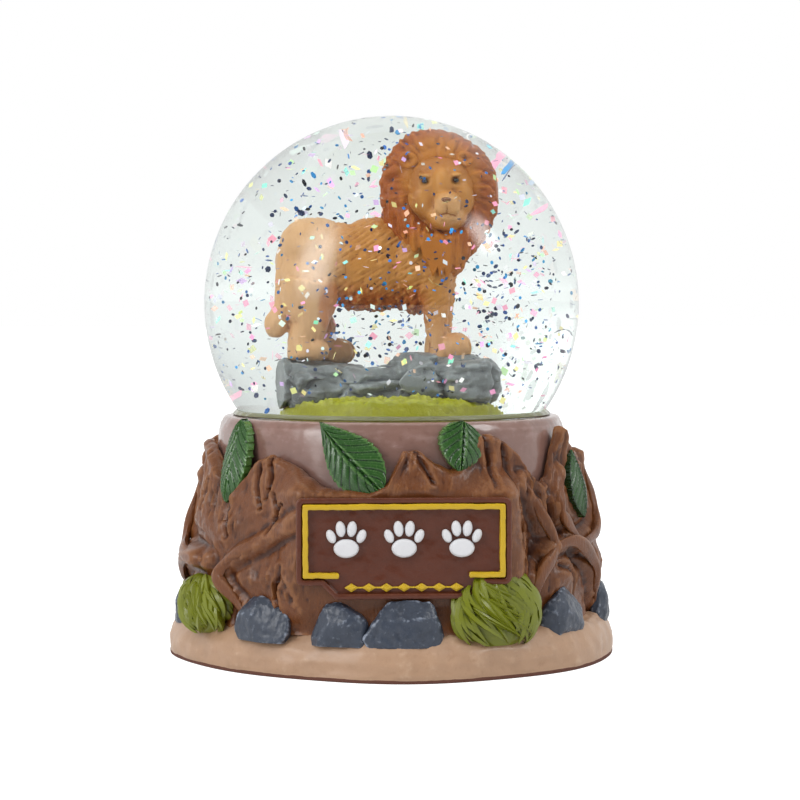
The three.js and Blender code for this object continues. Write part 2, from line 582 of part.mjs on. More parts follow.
// ---------------------------------------------------------------- assembly
const PIECES = [
  ["felt_foot", "felt", sandRing([[FELT_INSET, 0], [FELT_INSET, FELT_THICKNESS]], 0)],
  ["sand_plinth", "sand", sandRing(sandProfile(0), CAVITY_RADIUS)],
  ["stump_core", "wood", stumpCore()],
  ["bark_shell", "bark", barkSolid()],
  ...relief(),
  ["sign_board", "board", signBoard()],
  ["sign_border", "yellow", signBorder()],
  ["sign_emblem", "white", signEmblem()],
  ["sign_chain", "yellow", signChain()],
  ["rubber_stopper", "rubber", rubberStopper()],
  ["glass_globe", "glass", glassGlobe()],
  ["sealant_bead", "sealant", sealantBead()],
  ["liquid_fill", "liquid", liquidFill()],
  ["meadow_mound", "meadow", meadowSolid()],
  ["rock_ledge", "ledge", cut(ledgeSolid(), meadowSolid(GAP))],
  ["lion", "fur", cut(lionSolid(), ledgeSolid(GAP))],
  ["lion_mane", "mane", cut(maneSolid(), lionSolid(GAP), ledgeSolid(GAP))],
];

const snowGlobe = new THREE.Group();
for (const [name, finish, solid] of PIECES) {
  const [color, roughness] = COLOURS[finish];
  const clear = finish === "glass" || finish === "liquid";
  const material = new THREE.MeshStandardMaterial({ color, roughness, metalness: 0, transparent: clear });
  if (clear) material.opacity = 0.3;
  const mesh = new THREE.Mesh(toGeometry(solid), material);
  mesh.name = name;
  snowGlobe.add(mesh);
}

export default snowGlobe;
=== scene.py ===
"""The looks of a snow globe with a lion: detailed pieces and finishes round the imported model.

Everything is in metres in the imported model's own frame. Sizes inside the classes are in millimetres, and a
bearing is an angle about the globe's axis in degrees: 0 is the front (-Y), and 90 is the right (+X).
"""

from __future__ import annotations

import json
import logging
import math
import random
from contextlib import contextmanager
from dataclasses import dataclass, field
from enum import Enum
from typing import Any, Callable, Iterator, Sequence

import bpy
import numpy as np
from mathutils import Matrix, Vector, noise

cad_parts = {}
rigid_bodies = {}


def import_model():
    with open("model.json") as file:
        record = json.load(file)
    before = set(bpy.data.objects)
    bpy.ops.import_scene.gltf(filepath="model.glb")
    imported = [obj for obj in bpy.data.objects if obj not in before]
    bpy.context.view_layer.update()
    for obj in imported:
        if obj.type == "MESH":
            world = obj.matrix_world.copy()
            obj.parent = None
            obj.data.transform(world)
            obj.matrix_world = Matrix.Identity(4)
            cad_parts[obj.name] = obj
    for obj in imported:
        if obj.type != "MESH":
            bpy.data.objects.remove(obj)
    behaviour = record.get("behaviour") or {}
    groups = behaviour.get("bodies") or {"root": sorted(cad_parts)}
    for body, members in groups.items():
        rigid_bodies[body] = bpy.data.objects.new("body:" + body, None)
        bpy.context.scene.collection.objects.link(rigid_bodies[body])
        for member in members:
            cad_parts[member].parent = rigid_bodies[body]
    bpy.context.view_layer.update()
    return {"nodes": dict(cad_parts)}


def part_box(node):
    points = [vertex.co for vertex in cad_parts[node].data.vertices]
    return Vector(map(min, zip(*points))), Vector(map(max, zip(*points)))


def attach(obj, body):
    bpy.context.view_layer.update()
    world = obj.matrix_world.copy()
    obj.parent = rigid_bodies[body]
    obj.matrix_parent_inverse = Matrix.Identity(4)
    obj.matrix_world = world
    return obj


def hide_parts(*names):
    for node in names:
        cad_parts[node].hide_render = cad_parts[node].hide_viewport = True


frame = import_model()

MM = 0.001
BODY = "root"
Colour = tuple[float, float, float]
Array = np.ndarray
Piece = bpy.types.Object
Mapping = Callable[[Array, Array], Array]
log = logging.getLogger("snow_globe")


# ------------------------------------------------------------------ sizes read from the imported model
def low(node: str) -> Vector:
    """A node's lowest corner, in millimetres."""
    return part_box(node)[0] / MM


def high(node: str) -> Vector:
    """A node's highest corner, in millimetres."""
    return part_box(node)[1] / MM


# ------------------------------------------------------------------ shading tools
class Signal:
    """A node's output socket that takes part in Python arithmetic, each operator adding a Math node."""

    def __init__(self, graph: Graph, socket: bpy.types.NodeSocket) -> None:
        """Wraps one socket of a graph."""
        self.graph, self.socket = graph, socket

    def _math(self, operation: str, *values: Signal | float) -> Signal:
        """Adds a Math node.

        Args:
            operation: the Math node's operation.
            values: its inputs, in order.

        Returns:
            The node's output.
        """
        return self.graph.add("ShaderNodeMath", {"operation": operation}, dict(enumerate(values)))

    def __add__(self, other: Signal | float) -> Signal:
        """The sum."""
        return self._math("ADD", self, other)

    def __sub__(self, other: Signal | float) -> Signal:
        """The difference."""
        return self._math("SUBTRACT", self, other)

    def __rsub__(self, other: float) -> Signal:
        """The difference, taken from a number."""
        return self._math("SUBTRACT", other, self)

    def __mul__(self, other: Signal | float) -> Signal:
        """The product."""
        return self._math("MULTIPLY", self, other)

    def __truediv__(self, other: Signal | float) -> Signal:
        """The quotient."""
        return self._math("DIVIDE", self, other)

    def __pow__(self, other: float) -> Signal:
        """The power."""
        return self._math("POWER", self, other)

    __radd__, __rmul__ = __add__, __mul__

    def larger(self, other: Signal | float) -> Signal:
        """The larger of the two."""
        return self._math("MAXIMUM", self, other)

    def step(self, start: float, end: float) -> Signal:
        """A soft step: 0 where the value is at start, 1 where it is at end.

        Args:
            start: the value that gives 0.
            end: the value that gives 1, on either side of start.

        Returns:
            The stepped value, kept from 0 to 1.
        """
        return self.graph.add(
            "ShaderNodeMapRange",
            {"interpolation_type": "SMOOTHSTEP", "clamp": True},
            {"Value": self, "From Min": start, "From Max": end, "To Min": 0.0, "To Max": 1.0},
        )


class Graph:
    """A node tree, with one method that adds any node to it."""

    def __init__(self, tree: bpy.types.NodeTree) -> None:
        """Starts on an emptied node tree."""
        self.tree = tree
        tree.nodes.clear()

    def add(
        self, kind: str, settings: dict[str, Any], inputs: dict[Any, Any], output: str | int = 0
    ) -> Signal:
        """Adds a node, sets it and links it.

        Args:
            kind: the node's type.
            settings: its properties, set first.
            inputs: socket names or numbers, each with a value or a Signal.
            output: the output to return, by name or number.

        Returns:
            The chosen output.
        """
        node = self.tree.nodes.new(kind)
        for key, value in settings.items():
            setattr(node, key, value)
        for key, value in inputs.items():
            socket = node.inputs[key]
            if isinstance(value, Signal):
                self.tree.links.new(value.socket, socket)
            elif isinstance(value, tuple) and len(value) == 3 and socket.type == "RGBA":
                socket.default_value = (*value, 1.0)
            else:
                socket.default_value = value
        outputs = [node.outputs[output]] if node.outputs else [None]
        return Signal(self, outputs[0])

    def place(self) -> Signal:
        """The place on the piece, in millimetres."""
        spot = self.add("ShaderNodeTexCoord", {}, {}, "Object")
        return self.add("ShaderNodeVectorMath", {"operation": "SCALE"}, {0: spot, "Scale": 1 / MM})

    def axis(self, vector: Signal, name: str) -> Signal:
        """One of a vector's parts: X, Y or Z."""
        return self.add("ShaderNodeSeparateXYZ", {}, {"Vector": vector}, name)

    def ray(self, kind: str) -> Signal:
        """1 where the ray is of this kind, such as Camera or Shadow."""
        return self.add("ShaderNodeLightPath", {}, {}, f"Is {kind} Ray")

    def surface(self, kind: str, inputs: dict[Any, Any]) -> None:
        """Adds a shader and makes it the material's surface."""
        self.add("ShaderNodeOutputMaterial", {}, {"Surface": self.add(kind, {}, inputs)})

    def stretched(self, place: Signal, stretch: Colour) -> Signal:
        """The place multiplied along each axis, for a grain that runs one way."""
        return self.add("ShaderNodeVectorMath", {"operation": "MULTIPLY"}, {0: place, 1: stretch})

    def noise(self, place: Signal, scale: float, detail: float = 3.0, rough: float = 0.55) -> Signal:
        """Cloudy noise from 0 to 1.

        Args:
            place: where to read it.
            scale: features per millimetre.
            detail: octaves.
            rough: how strong the finer octaves are.

        Returns:
            The noise value.
        """
        inputs = {"Vector": place, "Scale": scale, "Detail": detail, "Roughness": rough}
        return self.add("ShaderNodeTexNoise", {}, inputs)

    def mix(self, factor: Signal | float, first: Any, second: Any) -> Signal:
        """A colour between two colours.

        Args:
            factor: 0 gives the first, 1 the second.
            first: a colour or a Signal.
            second: a colour or a Signal.

        Returns:
            The mixed colour.
        """
        settings = {"data_type": "RGBA", "blend_type": "MIX", "clamp_factor": True}
        return self.add("ShaderNodeMix", settings, {0: factor, 6: first, 7: second}, 2)

    def bump(self, height: Signal, distance: float) -> Signal:
        """The normal for a height from 0 to 1, where 1 stands a distance in millimetres high."""
        inputs = {"Height": height, "Distance": distance * MM, "Strength": 1.0}
        return self.add("ShaderNodeBump", {}, inputs)


def new_graph(name: str) -> tuple[bpy.types.Material, Graph]:
    """A new material and its empty graph."""
    material = bpy.data.materials.new(name)
    material.use_nodes = True
    return material, Graph(material.node_tree)


# ------------------------------------------------------------------ finishes
@dataclass(frozen=True)
class Paint:
    """Painted casting: a base coat, a darker coat laid into the hollows and a dry-brushed colour on the
    ridges, both partly the casting's own paint and partly painted shade in the hollows and painted highlights
    on the ridges.
    """

    name: str
    base: Colour
    # wash_and_shade is the darker paint and brush_and_highlight the lighter one; laid by the relief, they are
    # also painted shade in the hollows and painted highlights on the ridges.
    wash_and_shade: Colour
    brush_and_highlight: Colour
    wash_and_shade_share: float = 0.9
    brush_and_highlight_share: float = 0.5
    mottle: float = 0.25
    mottle_scale: float = 0.25
    deep: float = 0.62
    roughness: float = 0.34
    coat: float = 0.35
    shine: float = 0.4
    grain: float = 0.05
    grain_scale: float = 2.2
    grain_stretch: Colour = (1.0, 1.0, 1.0)
    streak: float = 0.15

    def coat_colour(self, graph: Graph, place: Signal) -> Signal:
        """The base coat before the wash and the brushing.

        Args:
            graph: the graph to draw in.
            place: the place on the piece.

        Returns:
            The colour.
        """
        cloud = graph.noise(place, self.mottle_scale, 4.0)
        darker = tuple(self.deep * c for c in self.base)
        return graph.mix(cloud.step(0.42, 0.72) * self.mottle, self.base, darker)

    def material(self) -> bpy.types.Material:
        """Builds the material.

        Returns:
            The finished material.
        """
        material, graph = new_graph(self.name)
        place = graph.place()
        relief = graph.add("ShaderNodeAttribute", {"attribute_name": "relief"}, {}, "Fac")
        streaks = graph.noise(graph.stretched(place, self.grain_stretch), self.grain_scale, 5.0, 0.62)
        speckle = graph.noise(place, self.grain_scale * 1.7, 2.0)
        # Painted shade and highlight: the darker paint fills the hollows and the lighter paint the ridges
        # that the relief attribute finds.
        hollow = (relief + (speckle - 0.5) * 0.22).step(0.5, 0.12) * self.wash_and_shade_share
        ridge = (relief + (streaks - 0.5) * 0.5).step(0.58, 0.86) * self.brush_and_highlight_share
        colour = graph.mix(streaks.step(0.42, 0.3) * self.streak, self.coat_colour(graph, place), self.wash_and_shade)
        colour = graph.mix(streaks.step(0.58, 0.74) * self.streak, colour, self.brush_and_highlight)
        colour = graph.mix(hollow, colour, self.wash_and_shade)
        colour = graph.mix(ridge, colour, self.brush_and_highlight)
        rough = self.roughness + (streaks - 0.5) * 0.16
        inputs = {
            "Base Color": colour,
            "Roughness": rough,
            "Specular IOR Level": self.shine,
            "Coat Weight": self.coat,
            "Coat Roughness": 0.12,
            "Normal": graph.bump(streaks, self.grain),
        }
        graph.surface("ShaderNodeBsdfPrincipled", inputs)
        return material


@dataclass(frozen=True)
class Pelt(Paint):
    """The lion's coat: tan on the hips and paws, ochre on the flank and face, dark along the belly, and a
    painted shade round the edge of the face.
    """

    tan: Colour = (0.61, 0.345, 0.165)
    dark: Colour = (0.42, 0.1, 0.012)
    # rim: the red-brown of the painted shade round the edge of the face, where it sinks into the mane.
    rim: Colour = (0.36, 0.115, 0.012)

    def coat_colour(self, graph: Graph, place: Signal) -> Signal:
        """The base coat, which changes along the body.

        Args:
            graph: the graph to draw in.
            place: the place on the piece.

        Returns:
            The colour.
        """
        plain = super().coat_colour(graph, place)
        x = graph.axis(place, "X")
        z = graph.axis(place, "Z")
        edge = (graph.noise(place, 0.3) - 0.5) * 5.0
        hips = (x + edge).step(-7.0, -11.0)
        feet = (z + edge * 0.6).step(73.0, 67.0) * 0.7
        under = x.step(-11.0, -8.0) * x.step(6.5, 4.0) * z.step(69.5, 72.5)
        belly = (z + edge * 0.5).step(78.6, 74.4) * under
        muzzle = (((x - 9.1) / 3.0) ** 2 + ((z - 90.4) / 3.2) ** 2).step(1.2, 0.5) * 0.6
        thigh = (((x + 10.4) / 2.6) ** 2 + ((z - 73.6) / 4.6) ** 2 + edge * 0.05).step(1.2, 0.5) * 0.6
        colour = graph.mix(belly.larger(thigh), graph.mix(hips.larger(feet), plain, self.tan), self.dark)
        # Painted shade: the face's edge darkens to the rim colour where the face meets the mane.
        face_edge_shade = (((x - 8.7) / 5.3) ** 2 + ((z - 92.6) / 6.2) ** 2).step(0.5, 1.0) * 0.8
        head = x.step(2.0, 3.5) * z.step(86.0, 88.0)
        return graph.mix(face_edge_shade * head, graph.mix(muzzle, colour, self.tan), self.rim)


@dataclass(frozen=True)
class Ruff(Paint):
    """The mane's coat: golden round the face and on the chest, and red-brown behind."""

    gold: Colour = (0.47, 0.165, 0.02)

    def coat_colour(self, graph: Graph, place: Signal) -> Signal:
        """The base coat, which changes away from the face.

        Args:
            graph: the graph to draw in.
            place: the place on the piece.

        Returns:
            The colour.
        """
        plain = super().coat_colour(graph, place)
        x = graph.axis(place, "X")
        z = graph.axis(place, "Z")
        edge = (graph.noise(place, 0.35) - 0.5) * 0.5
        face = (((x - 8.0) / 7.0) ** 2 + ((z - 95.8) / 7.8) ** 2 + edge).step(1.3, 0.6)
        chest = (((x - 6.4) / 6.2) ** 2 + ((z - 81.6) / 5.6) ** 2 + edge).step(1.4, 0.4) * 0.75
        y = graph.axis(place, "Y")
        return graph.mix(face.larger(chest) * (y + edge).step(0.5, -3.5), plain, self.gold)


@dataclass(frozen=True)
class Clear:
    """A clear boundary that bends light, and lets lamps and soft light through to what lies behind it."""

    name: str
    ior: float
    tint: Colour
    roughness: float = 0.0

    def material(self) -> bpy.types.Material:
        """Builds the material.

        Returns:
            The finished material.
        """
        material, graph = new_graph(self.name)
        inputs = {"Color": self.tint, "IOR": self.ior, "Roughness": self.roughness}
        glass = graph.add("ShaderNodeBsdfGlass", {}, inputs)
        through = graph.add("ShaderNodeBsdfTransparent", {}, {"Color": self.tint})
        shadow = graph.ray("Shadow")
        diffuse = graph.ray("Diffuse")
        graph.surface("ShaderNodeMixShader", {0: shadow.larger(diffuse), 1: glass, 2: through})
        return material


@dataclass(frozen=True)
class Flake:
    """Glitter: each flake has its own colour and clearness, held in the piece's "flake" attribute, and may
    glow in that colour: painted light that stands in for light passing through the thin film.
    """

    name: str
    metallic: float
    roughness: float
    # glow: painted light, an emission in the flake's own colour that stands in for light passing through it.
    glow: float

    def material(self) -> bpy.types.Material:
        """Builds the material.

        Returns:
            The finished material.
        """
        material, graph = new_graph(self.name)
        colour = graph.add("ShaderNodeAttribute", {"attribute_name": "flake"}, {}, "Color")
        inputs = {
            "Base Color": colour,
            "Metallic": self.metallic,
            "Roughness": self.roughness,
            # Painted light: the flake glows in its own colour, standing in for light that passes through it.
            "Emission Color": colour,
            "Emission Strength": self.glow,
            "Alpha": graph.add("ShaderNodeAttribute", {"attribute_name": "flake"}, {}, "Alpha"),
        }
        graph.surface("ShaderNodeBsdfPrincipled", inputs)
        return material


class Finish(Enum):
    """Every finish on the object, each with the record's slot that it belongs to."""

    GLASS = ("glass", Clear("clear_glass", 1.5, (0.975, 0.99, 0.984)))
    GLASS_WET = ("glass", Clear("glass_against_water", 1.128, (0.985, 0.995, 0.99)))
    WATER = ("liquid", Clear("water", 1.0, (0.992, 0.998, 0.996)))
    RUBBER = ("rubber", Paint(
        "white_rubber", (0.7, 0.69, 0.65), (0.5, 0.49, 0.46), (0.8, 0.79, 0.76), roughness=0.6, coat=0.0))
    SEALANT = ("sealant", Paint(
        "clear_sealant", (0.1, 0.098, 0.03), (0.06, 0.056, 0.02), (0.2, 0.2, 0.09), roughness=0.22, coat=0.5))
    WOOD = ("wood", Paint(
        "mauve_brown_wood", (0.225, 0.122, 0.098), (0.1, 0.045, 0.034), (0.36, 0.24, 0.215),
        brush_and_highlight_share=0.4, mottle=0.3, roughness=0.24, coat=0.6, grain=0.05, grain_scale=0.5,
        grain_stretch=(1.0, 1.0, 1.6)))
    BARK = ("bark", Paint(
        "red_brown_bark", (0.15, 0.046, 0.011), (0.045, 0.01, 0.003), (0.25, 0.1, 0.034),
        brush_and_highlight_share=0.7, mottle=0.6, mottle_scale=0.13, roughness=0.34, coat=0.2, shine=0.35, grain=0.16,
        streak=0.5, grain_scale=2.4, grain_stretch=(1.0, 1.0, 0.22)))
    SAND = ("sand", Paint(
        "sand_beige", (0.43, 0.265, 0.165), (0.24, 0.115, 0.055), (0.56, 0.39, 0.27),
        mottle=0.2, roughness=0.4, coat=0.14, grain=0.06, grain_scale=0.9))
    FELT = ("felt", Paint(
        "brown_felt", (0.1, 0.035, 0.022), (0.03, 0.01, 0.008), (0.16, 0.07, 0.05),
        roughness=0.95, coat=0.0, grain=0.12, grain_scale=6.0))
    LEAF = ("leaf", Paint(
        "leaf_green", (0.02, 0.08, 0.011), (0.006, 0.028, 0.005), (0.09, 0.2, 0.045),
        wash_and_shade_share=0.9, brush_and_highlight_share=0.6, mottle=0.35, roughness=0.26, coat=0.45, grain=0.03))
    STONE = ("stone", Paint(
        "slate_blue_stone", (0.042, 0.053, 0.078), (0.01, 0.012, 0.018), (0.3, 0.34, 0.42),
        brush_and_highlight_share=0.9, mottle=0.6, mottle_scale=0.5, roughness=0.4, coat=0.25, grain=0.12, grain_scale=1.1))
    GRASS = ("grass", Paint(
        "olive_grass", (0.04, 0.038, 0.003), (0.012, 0.009, 0.002), (0.21, 0.24, 0.008),
        wash_and_shade_share=1.0, brush_and_highlight_share=0.75, mottle=0.8, mottle_scale=0.4, roughness=0.36, coat=0.2))
    BOARD = ("board", Paint(
        "dark_red_board", (0.1, 0.024, 0.01), (0.036, 0.008, 0.004), (0.17, 0.062, 0.036),
        brush_and_highlight_share=0.6, mottle=0.3, roughness=0.34, coat=0.2, shine=0.3, grain=0.05))
    YELLOW = ("yellow", Paint(
        "yellow_paint", (0.56, 0.36, 0.006), (0.28, 0.14, 0.004), (0.64, 0.45, 0.02),
        mottle=0.2, roughness=0.34, coat=0.3))
    WHITE = ("white", Paint(
        "white_paint", (0.7, 0.7, 0.72), (0.36, 0.34, 0.34), (0.78, 0.78, 0.79),
        mottle=0.12, roughness=0.4, coat=0.2, grain=0.04))
    LEDGE = ("ledge", Paint(
        "grey_rock", (0.19, 0.205, 0.208), (0.04, 0.045, 0.05), (0.36, 0.39, 0.4),
        wash_and_shade_share=0.9, brush_and_highlight_share=0.6, mottle=0.85, mottle_scale=0.1, deep=0.28, roughness=0.42, coat=0.15,
        grain=0.1, grain_scale=0.9))
    MEADOW = ("meadow", Paint(
        "yellow_green_meadow", (0.35, 0.345, 0.009), (0.12, 0.125, 0.006), (0.5, 0.52, 0.04),
        mottle=0.4, mottle_scale=0.5, roughness=0.45, coat=0.1, grain=0.12))
    FUR = ("fur", Pelt(
        "golden_fur", (0.52, 0.215, 0.042), (0.24, 0.06, 0.008), (0.72, 0.38, 0.12),
        brush_and_highlight_share=0.5, mottle=0.3, mottle_scale=0.2, roughness=0.46, coat=0.06, shine=0.3, grain=0.05))
    MANE = ("mane", Ruff(
        "orange_brown_mane", (0.34, 0.078, 0.006), (0.17, 0.03, 0.003), (0.56, 0.19, 0.02),
        wash_and_shade_share=0.7, brush_and_highlight_share=0.6, mottle=0.45, mottle_scale=0.2, roughness=0.5, coat=0.03, shine=0.25,
        grain=0.05))
    NOSE = ("fur", Paint(
        "brown_nose", (0.2, 0.07, 0.022), (0.06, 0.02, 0.01), (0.34, 0.16, 0.06),
        roughness=0.3, coat=0.4, grain=0.0))
    # The film flakes glow at 0.3 as painted light standing in for light through the film; the ink dots do not
    # glow.
    FILM = ("liquid", Flake("glitter_film", 0.0, 0.18, 0.3))
    INK = ("liquid", Flake("glitter_ink", 0.4, 0.2, 0.0))
    EYE = ("fur", Paint(
        "dark_eye", (0.012, 0.008, 0.006), (0.005, 0.003, 0.002), (0.03, 0.02, 0.015),
        roughness=0.12, coat=0.6, grain=0.0))

    @property
    def slot(self) -> str:
        """The record's slot."""
        return self.value[0]

    def material(self) -> bpy.types.Material:
        """The material, built on first use."""
        return bpy.data.materials.get(self.value[1].name) or self.value[1].material()


# ------------------------------------------------------------------ modelling tools
def deselect() -> None:
    """Leaves object mode's selection empty."""
    for other in bpy.context.view_layer.objects:
        other.select_set(False)


def activate(piece: Piece) -> None:
    """Makes one object the only selected and active one."""
    deselect()
    piece.select_set(True)
    bpy.context.view_layer.objects.active = piece


@contextmanager
def editing(piece: Piece) -> Iterator[None]:
    """Edit mode with everything selected, for as long as the block runs."""
    activate(piece)
    bpy.ops.object.mode_set(mode="EDIT")
    bpy.ops.mesh.select_all(action="SELECT")
    yield
    bpy.ops.object.mode_set(mode="OBJECT")


def primitive(kind: str, name: str, **options: Any) -> Piece:
    """Adds a mesh primitive, names it and writes its place into its mesh.

    Args:
        kind: the operator's name between primitive_ and _add.
        name: the piece's name.
        options: the operator's own options.

    Returns:
        The new object.
    """
    deselect()
    getattr(bpy.ops.mesh, f"primitive_{kind}_add")(**options)
    piece = bpy.context.view_layer.objects.active
    piece.name = piece.data.name = name
    bpy.ops.object.transform_apply(location=True, rotation=True, scale=True)
    return piece


def modify(piece: Piece, kind: str, **settings: Any) -> None:
    """Adds a modifier with its settings and applies it.

    Args:
        piece: the object.
        kind: the modifier's type.
        settings: its properties.
    """
    activate(piece)
    modifier = piece.modifiers.new(kind.lower(), kind)
    for key, value in settings.items():
        setattr(modifier, key, value)
    bpy.ops.object.modifier_apply(modifier=modifier.name)


def points_of(piece: Piece) -> Array:
    """The piece's vertices, in millimetres, one per row."""
    flat = np.zeros(len(piece.data.vertices) * 3)
    piece.data.vertices.foreach_get("co", flat)
    return flat.reshape(-1, 3) / MM


def put_points(piece: Piece, points: Array) -> None:
    """Moves the piece's vertices to these places, in millimetres."""
    piece.data.vertices.foreach_set("co", (np.asarray(points) * MM).ravel())
    piece.data.update()


def normals_of(piece: Piece) -> Array:
    """The piece's vertex normals, one per row."""
    flat = np.zeros(len(piece.data.vertices) * 3)
    piece.data.vertices.foreach_get("normal", flat)
    return flat.reshape(-1, 3)


def tidy_mesh(piece: Piece, distance: float = 0.002) -> None:
    """Merges doubles and turns the faces outwards.

    Args:
        piece: the object.
        distance: how near two vertices are merged, in millimetres.
    """
    with editing(piece):
        bpy.ops.mesh.remove_doubles(threshold=distance * MM)
        bpy.ops.mesh.dissolve_degenerate(threshold=1e-7)
        bpy.ops.mesh.normals_make_consistent(inside=False)


def mapped(name: str, across: int, along: int, place: Mapping) -> Piece:
    """A grid whose vertices are placed by a function, with its touching edges merged.

    Args:
        name: the piece's name.
        across: divisions in u.
        along: divisions in v.
        place: gives a place in millimetres for each u and v from 0 to 1.

    Returns:
        The new object.
    """
    piece = primitive("grid", name, x_subdivisions=across, y_subdivisions=along, size=1.0)
    uv = points_of(piece) * MM + 0.5
    put_points(piece, place(uv[:, 0], uv[:, 1]))
    tidy_mesh(piece)
    return piece


def turned(name: str, profile: Sequence[tuple[float, float]], steps: int) -> Piece:
    """A closed profile of (radius, height) points spun about the globe's axis.

    Args:
        name: the piece's name.
        profile: the points, in order round the section.
        steps: divisions of the turn.

    Returns:
        The new object.
    """
    piece = primitive("circle", name, vertices=len(profile), radius=0.01)
    put_points(piece, np.array([(radius, 0.0, height) for radius, height in profile]))
    with editing(piece):
        bpy.ops.mesh.spin(steps=steps, angle=2 * math.pi, center=(0, 0, 0), axis=(0, 0, 1))
    tidy_mesh(piece)
    return piece


def joined(name: str, pieces: Sequence[Piece]) -> Piece:
    """Several objects as one.

    Args:
        name: the piece's name.
        pieces: the objects, which are used up.

    Returns:
        The joined object.
    """
    deselect()
    for piece in pieces:
        piece.select_set(True)
    bpy.context.view_layer.objects.active = pieces[0]
    bpy.ops.object.join()
    pieces[0].name = pieces[0].data.name = name
    return pieces[0]


def cast(piece: Piece, voxel: float, smooth: int = 4) -> None:
    """Melts overlapping shapes into one even skin, as a casting has.

    Args:
        piece: the object.
        voxel: the size of the new faces, in millimetres.
        smooth: rounds of smoothing.
    """
    modify(piece, "REMESH", mode="VOXEL", voxel_size=voxel * MM)
    if smooth:
        modify(piece, "SMOOTH", factor=0.5, iterations=smooth)


def clouds(points: Array, scale: Sequence[float] | float, seed: float, octaves: int = 3) -> Array:
    """Smooth noise at each point.

    Args:
        points: the places, one per row.
        scale: features per millimetre, for all axes or for each.
        seed: shifts the pattern.
        octaves: how many finer layers are added.

    Returns:
        Values from about -1 to 1.
    """
    spots = np.asarray(points) * np.asarray(scale) + seed
    return np.array([noise.fractal(Vector(spot), 0.9, 2.0, octaves) for spot in spots])


def smooth_curve(marks: Sequence[Sequence[float]], steps: int) -> Array:
    """An even curve through marks.

    Args:
        marks: the marks, one per row.
        steps: how many spans the curve is cut into.

    Returns:
        The curve's points, one per row.
    """
    marks = np.array(marks, float)
    ends = np.vstack([2 * marks[0] - marks[1], marks, 2 * marks[-1] - marks[-2]])
    rows = []
    for share in np.linspace(0, len(marks) - 1, steps + 1):
        index = min(int(share), len(marks) - 2)
        t = share - index
        a, b, c, d = ends[index : index + 4]
        bend = (2 * a - 5 * b + 4 * c - d) * t**2
        rows.append(0.5 * (2 * b + (c - a) * t + bend + (3 * b - a - 3 * c + d) * t**3))
    return np.array(rows)


def rotated(x: Any, y: Any, degrees: float) -> tuple[Any, Any]:
    """A point, or arrays of points, turned anticlockwise about the origin."""
    cosine, sine = math.cos(math.radians(degrees)), math.sin(math.radians(degrees))
    return x * cosine - y * sine, x * sine + y * cosine


def ridge(distance: Array, width: float) -> Array:
    """A round ridge's profile: 1 at no distance, falling off over the width."""
    return np.exp(-((distance / width) ** 2))


def smoothstep(value: Array | float, start: float, end: float) -> Array:
    """0 below start, 1 above end and smooth between."""
    share = np.clip((np.asarray(value, float) - start) / (end - start), 0.0, 1.0)
    return share * share * (3 - 2 * share)


def mark_relief(piece: Piece, depth: float, rounds: int = 8) -> None:
    """Writes how far each vertex stands above or below the smoothed surface, for the darker paint in the
    hollows and the brushing on the ridges, which are partly painted shade and painted highlights.

    Args:
        piece: the object.
        depth: the height in millimetres that counts as a full ridge or hollow.
        rounds: how widely the surface is smoothed to compare with.
    """
    points, normals = points_of(piece), normals_of(piece)
    edges = np.zeros(len(piece.data.edges) * 2, int)
    piece.data.edges.foreach_get("vertices", edges)
    one, two = edges.reshape(-1, 2).T
    count = np.bincount(one, minlength=len(points)) + np.bincount(two, minlength=len(points))
    level = points.copy()
    for _ in range(rounds):
        sums = [
            np.bincount(one, level[two, axis], len(points)) + np.bincount(two, level[one, axis], len(points))
            for axis in range(3)
        ]
        total = np.stack(sums, axis=1)
        level = 0.5 * level + 0.5 * total / np.maximum(count, 1)[:, None]
    height = ((points - level) * normals).sum(1) / depth
    attribute = piece.data.attributes.get("relief") or piece.data.attributes.new("relief", "FLOAT", "POINT")
    attribute.data.foreach_set("value", np.clip(0.5 + 0.5 * height, 0.0, 1.0))


def belongs(piece: Piece, finish: Finish) -> None:
    """Gives a piece its finish and its body, and reports it."""
    piece.data.materials.clear()
    piece.data.materials.append(finish.material())
    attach(piece, BODY)
    log.info("%s: %d faces", piece.name, len(piece.data.polygons))


def done(piece: Piece, finish: Finish, *nodes: str, depth: float = 0.25, angle: float = 60.0) -> None:
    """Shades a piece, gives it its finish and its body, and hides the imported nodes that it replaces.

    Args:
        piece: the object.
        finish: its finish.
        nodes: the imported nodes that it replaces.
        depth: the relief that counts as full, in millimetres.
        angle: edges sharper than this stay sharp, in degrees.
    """
    activate(piece)
    bpy.ops.object.shade_smooth_by_angle(angle=math.radians(angle))
    mark_relief(piece, depth)
    belongs(piece, finish)
    if nodes:
        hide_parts(*nodes)


def around(bearing: Array, radius: Array, height: Array) -> Array:
    """Places from bearings in degrees, radii and heights, one per row."""
    turn = np.radians(bearing)
    return np.stack([radius * np.sin(turn), -radius * np.cos(turn), height + 0 * turn], axis=1)


